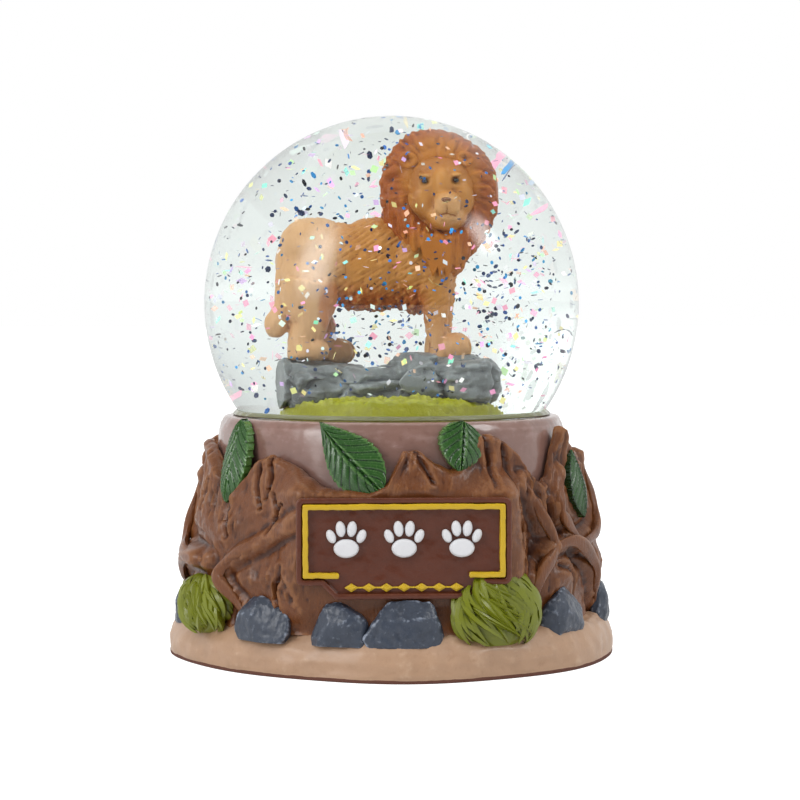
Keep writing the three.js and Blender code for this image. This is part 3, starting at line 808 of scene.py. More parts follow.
# ------------------------------------------------------------------ the stump
@dataclass
class StumpForm:
    """The stump's surfaces, as packed: the torn bark edge, the bark's face and the bare wood."""

    foot_radius: float = 44.4
    top_radius: float = 39.3
    board_plane: float = 41.4
    board_bearing: float = 27.0
    undercut: float = 1.6
    base: float = field(default_factory=lambda: low("stump_core").z)
    top: float = field(default_factory=lambda: high("stump_core").z)
    wood_foot: float = 40.5
    wood_top: float = 37.0

    def __post_init__(self) -> None:
        """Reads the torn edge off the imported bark: the highest vertex at each bearing."""
        node = frame["nodes"]["bark_shell"]
        spots = points_of(node)
        bearings = np.round(np.degrees(np.arctan2(spots[:, 0], -spots[:, 1])), 1)
        self.edge_bearings = np.unique(bearings)
        self.edge_heights = np.array([spots[bearings == b, 2].max() for b in self.edge_bearings])

    def edge(self, bearing: Array) -> Array:
        """The height of the torn edge at each bearing."""
        return np.interp(bearing, self.edge_bearings, self.edge_heights, period=360)

    def wood(self, height: Array) -> Array:
        """The bare wood's radius at each height."""
        share = (np.asarray(height, float) - self.base) / (self.top - self.base)
        return self.wood_foot + (self.wood_top - self.wood_foot) * share

    def bark(self, bearing: Array, height: Array) -> Array:
        """The bark's radius, with its lobes and the flat behind the sign.

        Args:
            bearing: bearings in degrees.
            height: heights.

        Returns:
            The radii.
        """
        side = np.abs((np.asarray(bearing, float) + 180) % 360 - 180)
        rise = smoothstep(height, 14, self.top)
        lobes = 0.5 * np.sin(np.radians(5 * bearing + 40)) + 0.35 * np.sin(np.radians(9 * bearing))
        round_face = self.foot_radius + (self.top_radius - self.foot_radius) * rise + lobes * (1 - rise)
        flat = self.board_plane / np.cos(np.radians(np.minimum(side, self.board_bearing)))
        shoulder = 1 - smoothstep(side, self.board_bearing, self.board_bearing + 13)
        board_top = high("sign_board").z
        level = smoothstep(height, 9, 15) * (1 - smoothstep(height, board_top, board_top + 6))
        undercut = self.undercut * (1 - smoothstep(height, 13, 20))
        share = shoulder * level
        return (round_face - undercut) * (1 - share) + (flat - 0.4 * undercut) * share

    def skin(self, bearing: float, height: float) -> float:
        """The outer radius at one place, bark or bare wood."""
        place = np.array([bearing]), np.array([height])
        return float(self.bark(*place)[0] if height < self.edge(place[0])[0] else self.wood(place[1])[0])


Way = Sequence[tuple[float, float, float]]


@dataclass(frozen=True)
class Line:
    """A root or a crack drawn on the bark: its way as (bearing, height, lift) points, and its width."""

    way: Way
    width: float

    def distance(self, bearing: Array, height: Array) -> tuple[Array, Array]:
        """How far places on the bark lie from the line.

        Args:
            bearing: bearings in degrees.
            height: heights.

        Returns:
            The distances in millimetres, and how far along the line the nearest point is, from 0 to 1.
        """
        arc = math.pi / 180 * 43
        curve = smooth_curve(self.way, 16)
        best = np.full(len(bearing), 1e9)
        along = np.zeros(len(bearing))
        for index, (start, end) in enumerate(zip(curve, curve[1:])):
            gap = (bearing - start[0] + 180) % 360 - 180
            x, y = gap * arc, height - start[1]
            dx, dy = (end[0] - start[0]) * arc, end[1] - start[1]
            share = np.clip((x * dx + y * dy) / (dx * dx + dy * dy), 0, 1)
            reach = np.hypot(x - share * dx, y - share * dy)
            nearer = reach < best
            best = np.where(nearer, reach, best)
            along = np.where(nearer, (index + share) / 16, along)
        return best, along


ROOTS: dict[str, list[Line]] = {
    "root_left": [
        Line([(-43, 9, 0.1), (-49.3, 14.5, 0.3), (-54.6, 19, 0.4), (-50, 23, 0.4), (-42, 26, 0.2),
              (-28, 31.4, -0.6)], 1.5),
    ],
    "root_far_left": [
        Line([(-63, 21.6, -0.3), (-76, 22.4, 0.4), (-87, 23.6, 0.5), (-94, 30, 0.3), (-91, 38, -0.5)], 1.6),
        Line([(-100, 12, 0), (-90, 17, 0.5), (-80, 21, 0.4), (-68, 22, -0.4)], 1.7),
    ],
    "root_right": [
        Line([(37.6, 10, 0), (38.6, 19, 0.2), (45.5, 25.4, 0.4), (42, 32, 0.2), (37.5, 38.6, -0.6)], 1.5),
        Line([(43, 24.4, -0.2), (55.5, 25.6, 0.4), (67, 20.8, 0.4), (74, 14.6, 0.2), (78, 9.6, -0.2)], 1.5),
    ],
    "root_far_right": [
        Line([(61, 24.4, -0.3), (52.6, 30, 0.2), (52, 34, 0.1), (56, 40, -0.6)], 1.3),
        Line([(62, 24.4, -0.2), (76, 27, 0.4), (83, 34, 0.2), (85, 42, -0.5)], 1.4),
    ],
    "root_back_right": [
        Line([(156, 10, 0), (160, 19, 0.3), (154, 26, 0.4), (150, 34, 0.1), (147, 41, -0.5)], 1.7),
    ],
    "root_back_left": [
        Line([(196, 10, 0), (200, 18, 0.3), (208, 24, 0.4), (216, 32, 0.2), (220, 40, -0.5)], 1.7),
    ],
}

CRACKS: tuple[Line, ...] = (
    Line([(-56.5, 36, 0), (-56, 31, 0), (-55, 27, 0)], 0.7),
    Line([(-37.5, 36, 0), (-36, 32.6, 0), (-38, 28.4, 0)], 0.55),
    Line([(-36, 32.6, 0), (-33.4, 34.6, 0)], 0.4),
    Line([(-44, 42, 0), (-44.6, 37, 0), (-42.6, 33, 0)], 0.5),
    Line([(-40, 43, 0), (-39.6, 38.4, 0), (-41, 35, 0)], 0.45),
    Line([(-74, 43, 0), (-73, 36, 0), (-76, 29, 0)], 0.7),
    Line([(-68, 38, 0), (-70, 32, 0)], 0.5),
    Line([(-33, 22, 0), (-35, 17, 0), (-34, 13, 0)], 0.5),
    Line([(3, 46, 0), (6, 42, 0), (8, 39, 0)], 0.6),
    Line([(25, 48, 0), (26, 43, 0), (24.6, 38, 0)], 0.6),
    Line([(31, 46, 0), (32.4, 40, 0), (31.4, 34, 0)], 0.6),
    Line([(33, 31, 0), (34, 24, 0), (33, 18, 0)], 0.5),
    Line([(48, 34, 0), (49, 30, 0), (47, 27.6, 0)], 0.6),
    Line([(60, 47, 0), (61, 42, 0), (60, 37, 0)], 0.5),
    Line([(50, 21, 0), (56, 19, 0), (58, 14, 0)], 0.6),
    Line([(95, 34, 0), (99, 27, 0), (97, 20, 0)], 0.7),
    Line([(108, 44, 0), (110, 36, 0), (108, 28, 0)], 0.7),
    Line([(130, 32, 0), (133, 25, 0), (131, 17, 0)], 0.7),
    Line([(172, 34, 0), (176, 27, 0), (174, 19, 0)], 0.7),
    Line([(186, 44, 0), (184, 37, 0), (186, 31, 0)], 0.6),
    Line([(232, 38, 0), (229, 30, 0), (232, 22, 0)], 0.7),
    Line([(254, 43, 0), (256, 35, 0), (253, 28, 0)], 0.6),
)


@dataclass
class Stump:
    """The wood core, the torn bark round it and the roots on the bark."""

    form: StumpForm
    turn_steps: int = 430
    rise_steps: int = 118
    wall: float = 1.7
    clearance: float = 0.35

    def grooves(self, bearing: Array, height: Array) -> Array:
        """The bark's relief: plates, grooves, grain, cracks and the swelling under each root.

        Args:
            bearing: bearings in degrees.
            height: heights.

        Returns:
            How far each place stands off the bark's plain face.
        """
        arc = np.radians(bearing) * 43
        flow = arc + 1.6 * np.sin(height / 9 + bearing / 23)
        around_ring = np.stack([np.cos(flow / 43) * 43, np.sin(flow / 43) * 43, height], axis=1)
        plates = clouds(around_ring, (0.11, 0.11, 0.05), 3.1, 2)
        ridges = 1 - np.abs(clouds(around_ring, (0.3, 0.3, 0.05), 11.7, 3))
        grain = clouds(around_ring, (1.5, 1.5, 0.16), 5.3, 2)
        lumps = clouds(around_ring, 0.42, 8.9, 3)
        side = np.abs((bearing + 180) % 360 - 180)
        calm = smoothstep(side, self.form.board_bearing - 5, self.form.board_bearing + 3)
        calm = np.maximum(calm, smoothstep(height, high("sign_board").z - 1, high("sign_board").z + 2))
        patch = smoothstep(clouds(around_ring, 0.07, 21.3, 2), -0.1, 0.35)
        relief = 0.95 * plates - 0.95 * patch * smoothstep(ridges, 0.82, 1.0) + (0.13 + 0.14 * patch) * grain
        relief += 0.3 * lumps
        relief = relief * (0.12 + 0.88 * calm)
        for line in CRACKS:
            distance, along = line.distance(bearing, height)
            width = line.width * (1.15 - 0.8 * np.abs(along - 0.35))
            relief -= 1.15 * ridge(distance, width)
            relief += 0.3 * ridge(distance - 2.2 * width, 1.2 * width)
        for lines in ROOTS.values():
            for line in lines:
                distance, _ = line.distance(bearing, height)
                relief += 1.1 * ridge(distance, 1.3 * line.width)
                relief -= 0.95 * ridge(distance - 1.7 * line.width, 0.55 * line.width) * calm
                relief -= 0.6 * ridge(distance - 2.8 * line.width, line.width) * calm
        return relief

    def bark(self) -> None:
        """The bark shell: a torn ring with an outer and an inner face."""
        form = self.form

        def place(u: Array, v: Array) -> Array:
            bearing = 360 * u - 180
            ring = np.stack([np.cos(2 * np.pi * u) * 26, np.sin(2 * np.pi * u) * 26, 0 * u], 1)
            torn = clouds(ring, 0.55, 2.2, 4)
            top = form.edge(bearing) + 0.4 * torn - 0.2
            last = v > 1 - 1e-6
            outer, rim = v <= 0.8, (v > 0.8) & (v < 0.86)
            share = np.where(outer, v / 0.8, np.where(rim, 1.0, np.maximum(0.99 - v, 0) / 0.13))
            height = form.base + 0.05 + (top - form.base - 0.05) * share
            lip = smoothstep(height, top - 3.4, top)
            face = form.bark(bearing, height) + self.grooves(bearing, height) + 0.5 * lip
            face -= 0.75 * smoothstep(height, top - 0.7, top + 0.05)
            inner = form.wood(height) + self.clearance
            face = np.clip(np.maximum(face, inner + 0.75), 0, 46.6)
            across = np.where(rim, (v - 0.8) / 0.06, np.where(outer | last, 0.0, 1.0))
            rounded = height + np.where(rim, 0.28 * np.sin(np.pi * across), 0)
            return around(bearing, face + (inner - face) * across, rounded)

        piece = mapped("bark", self.turn_steps, self.rise_steps, place)
        done(piece, Finish.BARK, "bark_shell", depth=0.36, angle=80)

    def core(self) -> None:
        """The wood core, with the seat for the ball and the hollow beneath."""
        form = self.form
        seat = high("glass_globe").x + 0.3
        centre = high("glass_globe").z - high("glass_globe").x
        neck = high("rubber_stopper").x + 0.3
        mouth = math.sqrt(seat**2 - (centre - form.top) ** 2)
        floor = low("rubber_stopper").z - 0.3
        bowl = [(r, centre - math.sqrt(seat**2 - r * r)) for r in np.linspace(mouth, neck, 8)]
        wall = [(float(form.wood(z)), z) for z in np.linspace(form.base, 47.6, 12)]
        lip = form.wood_top + 0.14
        rim = [(lip - 2.4 * (1 - math.cos(a)), 47.9 + 2.7 * math.sin(a)) for a in (0.4, 0.8, 1.2, 1.57)]
        hollow = [(0.0, floor), (0.0, 27.0), (28.0, 27.0), (30.0, 25.0)]
        piece = turned("stump_wood", [(30.0, form.base), *wall, *rim, *bowl, (neck, floor), *hollow], 200)
        modify(piece, "SUBSURF", subdivision_type="SIMPLE", levels=1, render_levels=1)
        spots = points_of(piece)
        radius = np.hypot(spots[:, 0], spots[:, 1])
        outside = smoothstep(radius, 35.6, 36.8) * smoothstep(spots[:, 2], form.base + 1, form.base + 4)
        bearing = np.degrees(np.arctan2(spots[:, 0], -spots[:, 1]))
        dents = clouds(spots, (0.09, 0.09, 0.16), 4.4, 2)
        strokes = clouds(spots, (0.22, 0.22, 0.5), 9.1, 3)
        folds = np.sin(np.radians(bearing * 5) + spots[:, 2] * 0.35)
        swell = 1 + outside * (-0.35 - 0.3 * np.abs(dents) + 0.16 * strokes + 0.1 * folds) / 38
        spots *= swell[:, None] ** [1, 1, 0]
        put_points(piece, spots)
        done(piece, Finish.WOOD, "stump_core", depth=0.3)

    def root(self, name: str, lines: Sequence[Line], sides: int = 14, steps: int = 44) -> Piece:
        """A root lying on the bark, thick at its middle, twisted and ribbed.

        Args:
            name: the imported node's name.
            lines: its branches.
            sides: divisions round it.
            steps: divisions along it.

        Returns:
            The piece.
        """
        branches = []
        for line in lines:
            curve = smooth_curve(line.way, steps)
            skin = np.array([self.form.skin(b, z) for b, z, _ in curve])
            spine = around(curve[:, 0], skin + 0.6 + curve[:, 2], curve[:, 1])
            tangent = np.gradient(spine, axis=0)
            tangent /= np.linalg.norm(tangent, axis=1)[:, None]
            outward = spine * [1, 1, 0]
            outward /= np.linalg.norm(outward, axis=1)[:, None]
            sideways = np.cross(tangent, outward)
            sideways /= np.linalg.norm(sideways, axis=1)[:, None]

            def place(u: Array, v: Array) -> Array:
                index = np.clip(np.round(v * steps).astype(int), 0, steps)
                turn = 2 * np.pi * u
                twist = 3 * turn + 9 * v + 4
                taper = np.sin(np.pi * np.clip(v * 0.94 + 0.03, 0, 1)) ** 0.45 * (1.1 - 0.3 * v)
                knots = 1 + 0.16 * np.sin(17 * v + 2) + 0.13 * np.sin(twist)
                knots += 0.05 * np.sin(2.3 * twist + 31 * v)
                reach = line.width * taper * knots * np.where((v < 1e-6) | (v > 1 - 1e-6), 0.0, 1.0)
                wide, tall = reach * np.cos(turn), 0.72 * reach * np.sin(turn)
                return spine[index] + sideways[index] * wide[:, None] + outward[index] * tall[:, None]

            branches.append(mapped(name, sides, steps, place))
        piece = joined(f"{name}_relief", branches)
        modify(piece, "SUBSURF", levels=1, render_levels=1)
        done(piece, Finish.BARK, name, depth=0.2)
        return piece

    def build(self) -> None:
        """Builds the core, the bark and every root."""
        self.core()
        self.bark()
        for name, lines in ROOTS.items():
            self.root(name, lines)


@dataclass(frozen=True)
class Leaf:
    """A toothed leaf with a midrib and side veins, bent round the stump."""

    node: str
    bearing: float
    height: float
    lean: float
    length: float
    width: float
    fullest: float = 0.45
    across: int = 44
    along: int = 90
    veins: int = 9

    def build(self, form: StumpForm) -> None:
        """Builds the leaf on the stump.

        Args:
            form: the stump's surfaces.
        """
        stem_radius = float(form.wood(np.array(50.0)))

        def place(u: Array, v: Array) -> Array:
            side = 2 * u - 1
            bend = np.log(0.5) / np.log(self.fullest)
            belly = np.sin(np.pi * np.clip(v, 0, 1) ** bend) ** 0.72
            wave = (v * self.veins * 1.5 - 0.9 * np.abs(side)) % 1.0
            tooth = 1 + 0.07 * (wave - 0.5) * smoothstep(np.abs(side), 0.6, 1.0)
            x = side * self.width / 2 * belly * tooth
            y = self.length * (0.5 - v) + 0.5 * np.abs(side) * (v - 0.5)
            px, py = rotated(x, y, self.lean)
            height = self.height + py
            bearing = self.bearing + np.degrees(px / 39.5)
            lean_in = np.interp(height, [28, 36, 50.6], [42.6, 41.5, stem_radius + 0.7])
            dome = 0.95 * (1 - side**2) * np.sin(np.pi * v) ** 0.5
            vein = (v * self.veins - 2.6 * np.abs(side) ** 0.8) % 1.0
            barb = (v * self.veins * 3 - 7.8 * np.abs(side) ** 0.8) % 1.0
            ribs = -0.2 * ridge(vein - 0.5, 0.12) - 0.13 * ridge(barb - 0.5, 0.25)
            midrib = -0.34 * ridge(side, 0.055) + 0.2 * ridge(np.abs(side) - 0.13, 0.06)
            curl = 0.35 * np.sin(5 * v + self.bearing) * side
            lift = 0.25 + dome + (ribs + midrib) * smoothstep(belly, 0.05, 0.4) + curl
            return around(bearing, lean_in + lift, np.minimum(height, 51.2))

        piece = mapped(f"{self.node}_relief", self.across, self.along, place)
        with editing(piece):
            bpy.ops.mesh.extrude_region_move()
        spots = points_of(piece)
        inward = spots * [1, 1, 0]
        inward /= np.linalg.norm(inward, axis=1)[:, None]
        extruded = self._selected(piece)
        spots[~extruded] -= inward[~extruded] * 1.5
        put_points(piece, spots)
        tidy_mesh(piece)
        done(piece, Finish.LEAF, self.node, depth=0.16, angle=50)

    @staticmethod
    def _selected(piece: Piece) -> Array:
        """Which of the piece's vertices are selected."""
        chosen = np.zeros(len(piece.data.vertices), bool)
        piece.data.vertices.foreach_get("select", chosen)
        return chosen


LEAVES: tuple[Leaf, ...] = (
    Leaf("leaf_front_middle", -15.6, 43.8, 45, 19.6, 10.4, 0.62),
    Leaf("leaf_front_left", -57, 42.2, 2, 17, 9.4, 0.45, veins=7),
    Leaf("leaf_front_right", 17.6, 45.8, -10, 10.6, 9.4, 0.4, 36, 64, 6),
    Leaf("leaf_right", 67, 37, 3, 14.8, 8.6, 0.5, veins=6),
    Leaf("leaf_back_right", 129, 41.8, 30, 16.4, 9, 0.55),
    Leaf("leaf_back_middle", 170, 42.4, -24, 15.4, 9, 0.5),
    Leaf("leaf_back_left", 236, 41.6, 18, 17, 9.2, 0.5),
)


@dataclass(frozen=True)
class Stone:
    """A broken stone with flat chipped faces, set in the sand against the bark."""

    node: str
    bearing: float
    distance: float
    width: float
    depth: float
    height: float
    seed: int
    crown: float = 1.22

    def build(self, ground: float) -> None:
        """Builds the stone.

        Args:
            ground: the sand's height.
        """
        draw = random.Random(self.seed)
        piece = primitive("ico_sphere", f"{self.node}_rock", subdivisions=2, radius=0.5)
        spots = points_of(piece) * MM
        spots *= np.array([[draw.uniform(0.8, 1.06)] for _ in spots])
        put_points(piece, spots * [self.width, self.depth, self.height])
        with editing(piece):
            bpy.ops.mesh.convex_hull()
            bpy.ops.mesh.dissolve_limited(angle_limit=math.radians(24))
            bpy.ops.mesh.quads_convert_to_tris()
        modify(piece, "BEVEL", width=0.5 * MM, segments=3, limit_method="ANGLE", angle_limit=math.radians(12))
        cast(piece, 0.26, 3)
        spots = points_of(piece)
        spots += normals_of(piece) * (0.16 * clouds(spots, 0.55, self.seed, 4))[:, None]
        x, y = rotated(spots[:, 0], spots[:, 1] - self.distance, self.bearing)
        height = spots[:, 2] * np.where(spots[:, 2] > 0, self.crown, 1.0) + ground + 0.2
        put_points(piece, np.stack([x, y, np.maximum(height, ground - 1.6)], 1))
        done(piece, Finish.STONE, self.node, depth=0.2, angle=70)


STONES: tuple[Stone, ...] = (
    Stone("stone_front_left", -39.6, 43.4, 14.4, 6.6, 13.4, 3),
    Stone("stone_front_middle_left", -17, 43.2, 13.2, 6.4, 12.4, 8),
    Stone("stone_front_middle_right", 0.8, 43.2, 18.4, 7, 13.8, 21),
    Stone("stone_front_right", 50.4, 43.4, 14.8, 6.6, 13.4, 30),
    Stone("stone_right", 81, 43.8, 10.6, 6, 13, 41),
    Stone("stone_back_right", 141, 43.4, 13.6, 6.4, 12, 55),
    Stone("stone_back_middle", 176, 43.4, 14.8, 6.6, 12.6, 60),
    Stone("stone_back_left", 214, 43.4, 12.6, 6.4, 11.6, 74),
    Stone("stone_left", 274, 43.8, 11.6, 6, 13, 88),
)


@dataclass(frozen=True)
class Tuft:
    """A clump of combed grass: blades that sweep from its crown down to its skirt."""

    node: str
    bearing: float
    distance: float
    width: float
    depth: float
    height: float
    swirl: float
    seed: int
    blades: int = 230

    def blade(self, draw: random.Random, index: int) -> Piece:
        """One blade on the clump's dome.

        Args:
            draw: the source of its differences.
            index: its number.

        Returns:
            The blade.
        """
        start = 360 * index / self.blades + draw.uniform(-9, 9)
        first = draw.choice((6, 26, 42, 56, 68, 80)) + draw.uniform(-7, 7)
        reach = draw.uniform(38, 64)
        sweep = self.swirl * (draw.uniform(0.1, 1.5) + 0.5 * math.sin(math.radians(2 * start)))
        lift = draw.uniform(0.88, 1.02)
        thick = draw.uniform(0.55, 0.95)

        def place(u: Array, v: Array) -> Array:
            polar = np.radians(np.minimum(first + reach * v, 140))
            turn = np.radians(start + sweep * v)
            dome = np.stack([np.sin(polar) * np.cos(turn), np.sin(polar) * np.sin(turn), np.cos(polar)], 1)
            stand = lift + 0.06 * np.sin(np.pi * v) + 0.02 * v**3
            dome *= np.array([self.width / 2, self.depth / 2, self.height / 2]) * stand[:, None]
            side = np.stack([-np.sin(turn), np.cos(turn), 0 * turn], 1)
            out = dome / np.linalg.norm(dome, axis=1)[:, None]
            body = thick * np.sin(np.pi * np.clip(0.2 + 0.8 * v, 0, 1)) ** 0.8
            corner = 2 * np.pi * u
            wide, tall = body * np.cos(corner), 0.75 * body * np.sin(corner)
            return dome + side * wide[:, None] + out * tall[:, None]

        return mapped(self.node, 4, 8, place)

    def build(self, ground: float) -> None:
        """Builds the clump.

        Args:
            ground: the sand's height.
        """
        draw = random.Random(self.seed)
        half = (self.width * 0.43 * MM, self.depth * 0.43 * MM, self.height * 0.44 * MM)
        core = primitive("uv_sphere", self.node, segments=24, ring_count=14, radius=1.0, scale=half)
        piece = joined(f"{self.node}_blades", [core, *(self.blade(draw, i) for i in range(self.blades))])
        spots = points_of(piece)
        x, y = rotated(spots[:, 0], spots[:, 1] - self.distance, self.bearing)
        height = np.maximum(spots[:, 2] + ground + self.height * 0.24, ground - 1.8)
        put_points(piece, np.stack([x, y, height], 1))
        done(piece, Finish.GRASS, self.node, depth=0.6)


TUFTS: tuple[Tuft, ...] = (
    Tuft("grass_tuft_front_left", -66, 43.2, 17.4, 8.8, 13, 46, 5),
    Tuft("grass_tuft_front_right", 25.4, 43.4, 18.8, 9, 17.4, 52, 6, 260),
    Tuft("grass_tuft_back_right", 112, 43.4, 14.5, 8.4, 13, -48, 7),
    Tuft("grass_tuft_back_left", 246, 43.4, 15, 8.4, 13, 44, 8),
)


# ------------------------------------------------------------------ the foot of the stump
@dataclass
class Ground:
    """The sand plinth and the felt foot under it."""

    steps: int = 300

    @staticmethod
    def outline(node: str, bearing: Array) -> Array:
        """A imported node's outermost radius at each bearing.

        Args:
            node: the node's name.
            bearing: bearings in degrees.

        Returns:
            The radii.
        """
        spots = points_of(frame["nodes"][node])
        radius = np.hypot(spots[:, 0], spots[:, 1])
        rim = radius > 40
        angle, radius = np.degrees(np.arctan2(spots[rim, 0], -spots[rim, 1])), radius[rim]
        groups = np.round(angle / 6) * 6
        at = np.unique(groups)
        widest = [np.argmax(np.where(groups == g, radius, 0)) for g in at]
        return np.interp(bearing, angle[widest], radius[widest], period=360)

    def sand(self) -> None:
        """The plinth: a smooth swelling rim with a ragged inner edge."""
        base, top = low("sand_plinth").z, high("sand_plinth").z
        marks = np.array([0, 0.14, 0.2, 0.27, 0.36, 0.46, 0.55, 0.64, 0.76, 0.9, 1.0])
        insets = np.array([17.6, 0.75, 0.5, 0.1, 0.15, 0.8, 1.8, 3.1, 4.9, 9.8, 17.6])
        heights = np.array([base, base, 0.62, 1.5, 3.8, 5.8, 7.3, 8.5, top + 0.7, top + 0.3, base])

        def place(u: Array, v: Array) -> Array:
            bearing = 360 * u
            rim = self.outline("sand_plinth", bearing)
            inset = np.interp(v, marks, insets)
            height = np.interp(v, marks, heights)
            flat = around(bearing, rim - inset, height)
            swell = clouds(flat, 0.075, 6.3, 3)
            dabs = clouds(flat, 0.3, 2.9, 3)
            up = smoothstep(v, 0.45, 0.62) * (1 - smoothstep(v, 0.82, 0.9))
            side = smoothstep(v, 0.16, 0.3) * (1 - smoothstep(v, 0.82, 0.9))
            height = height + up * (0.5 * swell + 0.45 * np.abs(dabs))
            inset = inset + side * (0.35 + 0.6 * np.abs(swell) + 0.22 * dabs)
            inner = v > 0.97
            return around(bearing, np.where(inner, rim - 17.6, rim - np.maximum(inset, 0.05)), height)

        piece = mapped("sand_rim", self.steps, 60, place)
        modify(piece, "SMOOTH", factor=0.5, iterations=2)
        done(piece, Finish.SAND, "sand_plinth", depth=0.3, angle=80)

    def foot(self) -> None:
        """The felt foot, a flat cut of felt with a soft edge."""
        count, thickness = 120, high("felt_foot").z - low("felt_foot").z
        piece = primitive("circle", "felt_pad", vertices=count, radius=0.01, fill_type="NGON")
        bearing = np.linspace(0, 360, count, endpoint=False)
        rim = self.outline("sand_plinth", bearing) - 0.55
        put_points(piece, around(bearing, rim, np.zeros(count)))
        with editing(piece):
            bpy.ops.mesh.inset(thickness=0.5 * MM)
            bpy.ops.mesh.inset(thickness=12 * MM)
        modify(piece, "SOLIDIFY", thickness=thickness * MM, offset=1.0, use_rim=True)
        spots = points_of(piece)
        spots[:, 2] -= spots[:, 2].min()
        put_points(piece, spots)
        tidy_mesh(piece)
        modify(piece, "BEVEL", width=0.16 * MM, segments=2, limit_method="ANGLE")
        x, y = around(bearing, rim, rim)[:, :2].T
        done(piece, Finish.FELT, "felt_foot")

    def build(self) -> None:
        """Builds the plinth and the foot."""
        self.sand()
        self.foot()


# ------------------------------------------------------------------ the sign
@dataclass
class Sign:
    """The sign board: a rimmed board, a yellow border, white paw prints and a chain of lozenges."""

    corner: float = 1.3
    tab_half: float = 13.5
    tab_drop: float = 2.8
    rim: float = 1.1
    relief: float = 0.9

    @property
    def face(self) -> float:
        """The board's sunk face, as a distance in front of the axis."""
        return -low("sign_board").y - self.relief

    @staticmethod
    def drawn(name: str, outline: Sequence[tuple[float, float]], back: float) -> Piece:
        """A flat face drawn on the sign's plane.

        Args:
            name: the piece's name.
            outline: (x, z) corners in order.
            back: how far in front of the axis it lies.

        Returns:
            The new object.
        """
        piece = primitive("circle", name, vertices=len(outline), radius=0.01, fill_type="NGON")
        put_points(piece, np.array([(x, -back, z) for x, z in outline]))
        return piece

    @staticmethod
    def raise_face(depth: float) -> None:
        """Extrudes the selected faces towards the front by a depth in millimetres."""
        bpy.ops.mesh.extrude_region_move(TRANSFORM_OT_translate={"value": (0, -depth * MM, 0)})

    @staticmethod
    def rounded(
        left: float, right: float, bottom: float, top: float, corner: float
    ) -> list[tuple[float, float]]:
        """A rectangle's outline with round corners.

        Args:
            left: its left edge.
            right: its right edge.
            bottom: its lower edge.
            top: its upper edge.
            corner: the corners' radius.

        Returns:
            (x, z) points, anticlockwise from the lower right corner.
        """
        middles = [(right - corner, bottom + corner, 270), (right - corner, top - corner, 0),
                   (left + corner, top - corner, 90), (left + corner, bottom + corner, 180)]
        return [
            (x + corner * math.cos(math.radians(a + s)), z + corner * math.sin(math.radians(a + s)))
            for x, z, a in middles
            for s in (0, 22.5, 45, 67.5, 90)
        ]

    def board(self) -> None:
        """The board with its raised rim and its wider lip below."""
        lower, upper = low("sign_board"), high("sign_board")
        bottom = lower.z + self.tab_drop
        outline = self.rounded(lower.x, upper.x, bottom, upper.z, self.corner)
        outline += [(-self.tab_half - self.tab_drop, bottom), (-self.tab_half, lower.z),
                    (self.tab_half, lower.z), (self.tab_half + self.tab_drop, bottom)]
        piece = self.drawn("sign_slab", outline, -upper.y)
        with editing(piece):
            self.raise_face(upper.y - lower.y)
            bpy.ops.mesh.inset(thickness=self.rim * MM)
            self.raise_face(-self.relief)
        tidy_mesh(piece)
        sharp = math.radians(40)
        modify(piece, "BEVEL", width=0.36 * MM, segments=3, limit_method="ANGLE", angle_limit=sharp)
        cast(piece, 0.22, 2)
        spots = points_of(piece)
        wobble = 0.16 * clouds(spots, 0.22, 5.0, 3)
        spots[:, 1] += wobble * smoothstep(spots[:, 1], -41.9, -42.3)
        spots[:, 1] = np.maximum(spots[:, 1], lower.y)
        put_points(piece, spots)
        done(piece, Finish.BOARD, "sign_board", depth=0.2, angle=70)

    def border(self) -> None:
        """The painted border, a narrow raised line with hand-painted edges."""
        lower, upper = low("sign_border"), high("sign_border")
        gap = self.gap()
        width = 1.1
        bars = [
            (lower.x, upper.x, upper.z - width, upper.z),
            (lower.x, lower.x + width, lower.z, upper.z),
            (upper.x - width, upper.x, lower.z, upper.z),
            (lower.x, -gap, lower.z, lower.z + width),
            (gap, upper.x, lower.z, lower.z + width),
        ]
        pieces = []
        for index, bar in enumerate(bars):
            piece = self.drawn(f"border_bar_{index}", self.rounded(*bar, 0.3), self.face - 0.1)
            with editing(piece):
                self.raise_face(-lower.y - self.face + 0.05)
            tidy_mesh(piece)
            pieces.append(piece)
        piece = joined("sign_frame", pieces)
        cast(piece, 0.16, 3)
        spots = points_of(piece)
        spots[:, 0] += 0.1 * clouds(spots, 0.5, 1.0, 3)
        spots[:, 2] += 0.1 * clouds(spots, 0.5, 7.0, 3)
        put_points(piece, spots)
        done(piece, Finish.YELLOW, "sign_border", depth=0.25)

    @staticmethod
    def gap() -> float:
        """Half the gap that the chain leaves in the border's lower bar."""
        return high("sign_chain").x + 1.0

    def oval(self, name: str, x: float, z: float, wide: float, tall: float, turn: float) -> Piece:
        """One raised pad of a paw print.

        Args:
            name: the piece's name.
            x: its middle.
            z: its middle.
            wide: half its width.
            tall: half its height.
            turn: its lean in degrees.

        Returns:
            The pad.
        """
        outline = []
        for a in np.linspace(0, 2 * math.pi, 24, endpoint=False):
            px, pz = rotated(wide * math.cos(a), tall * math.sin(a), turn)
            outline.append((x + px, z + pz))
        piece = self.drawn(name, outline, self.face - 0.1)
        rise = -low("sign_emblem").y - self.face + 0.1
        with editing(piece):
            self.raise_face(0.55 * rise)
            for share, inset in ((0.25, 0.12), (0.14, 0.16), (0.06, 0.2)):
                bpy.ops.mesh.inset(thickness=inset * MM)
                self.raise_face(share * rise)
        tidy_mesh(piece)
        return piece

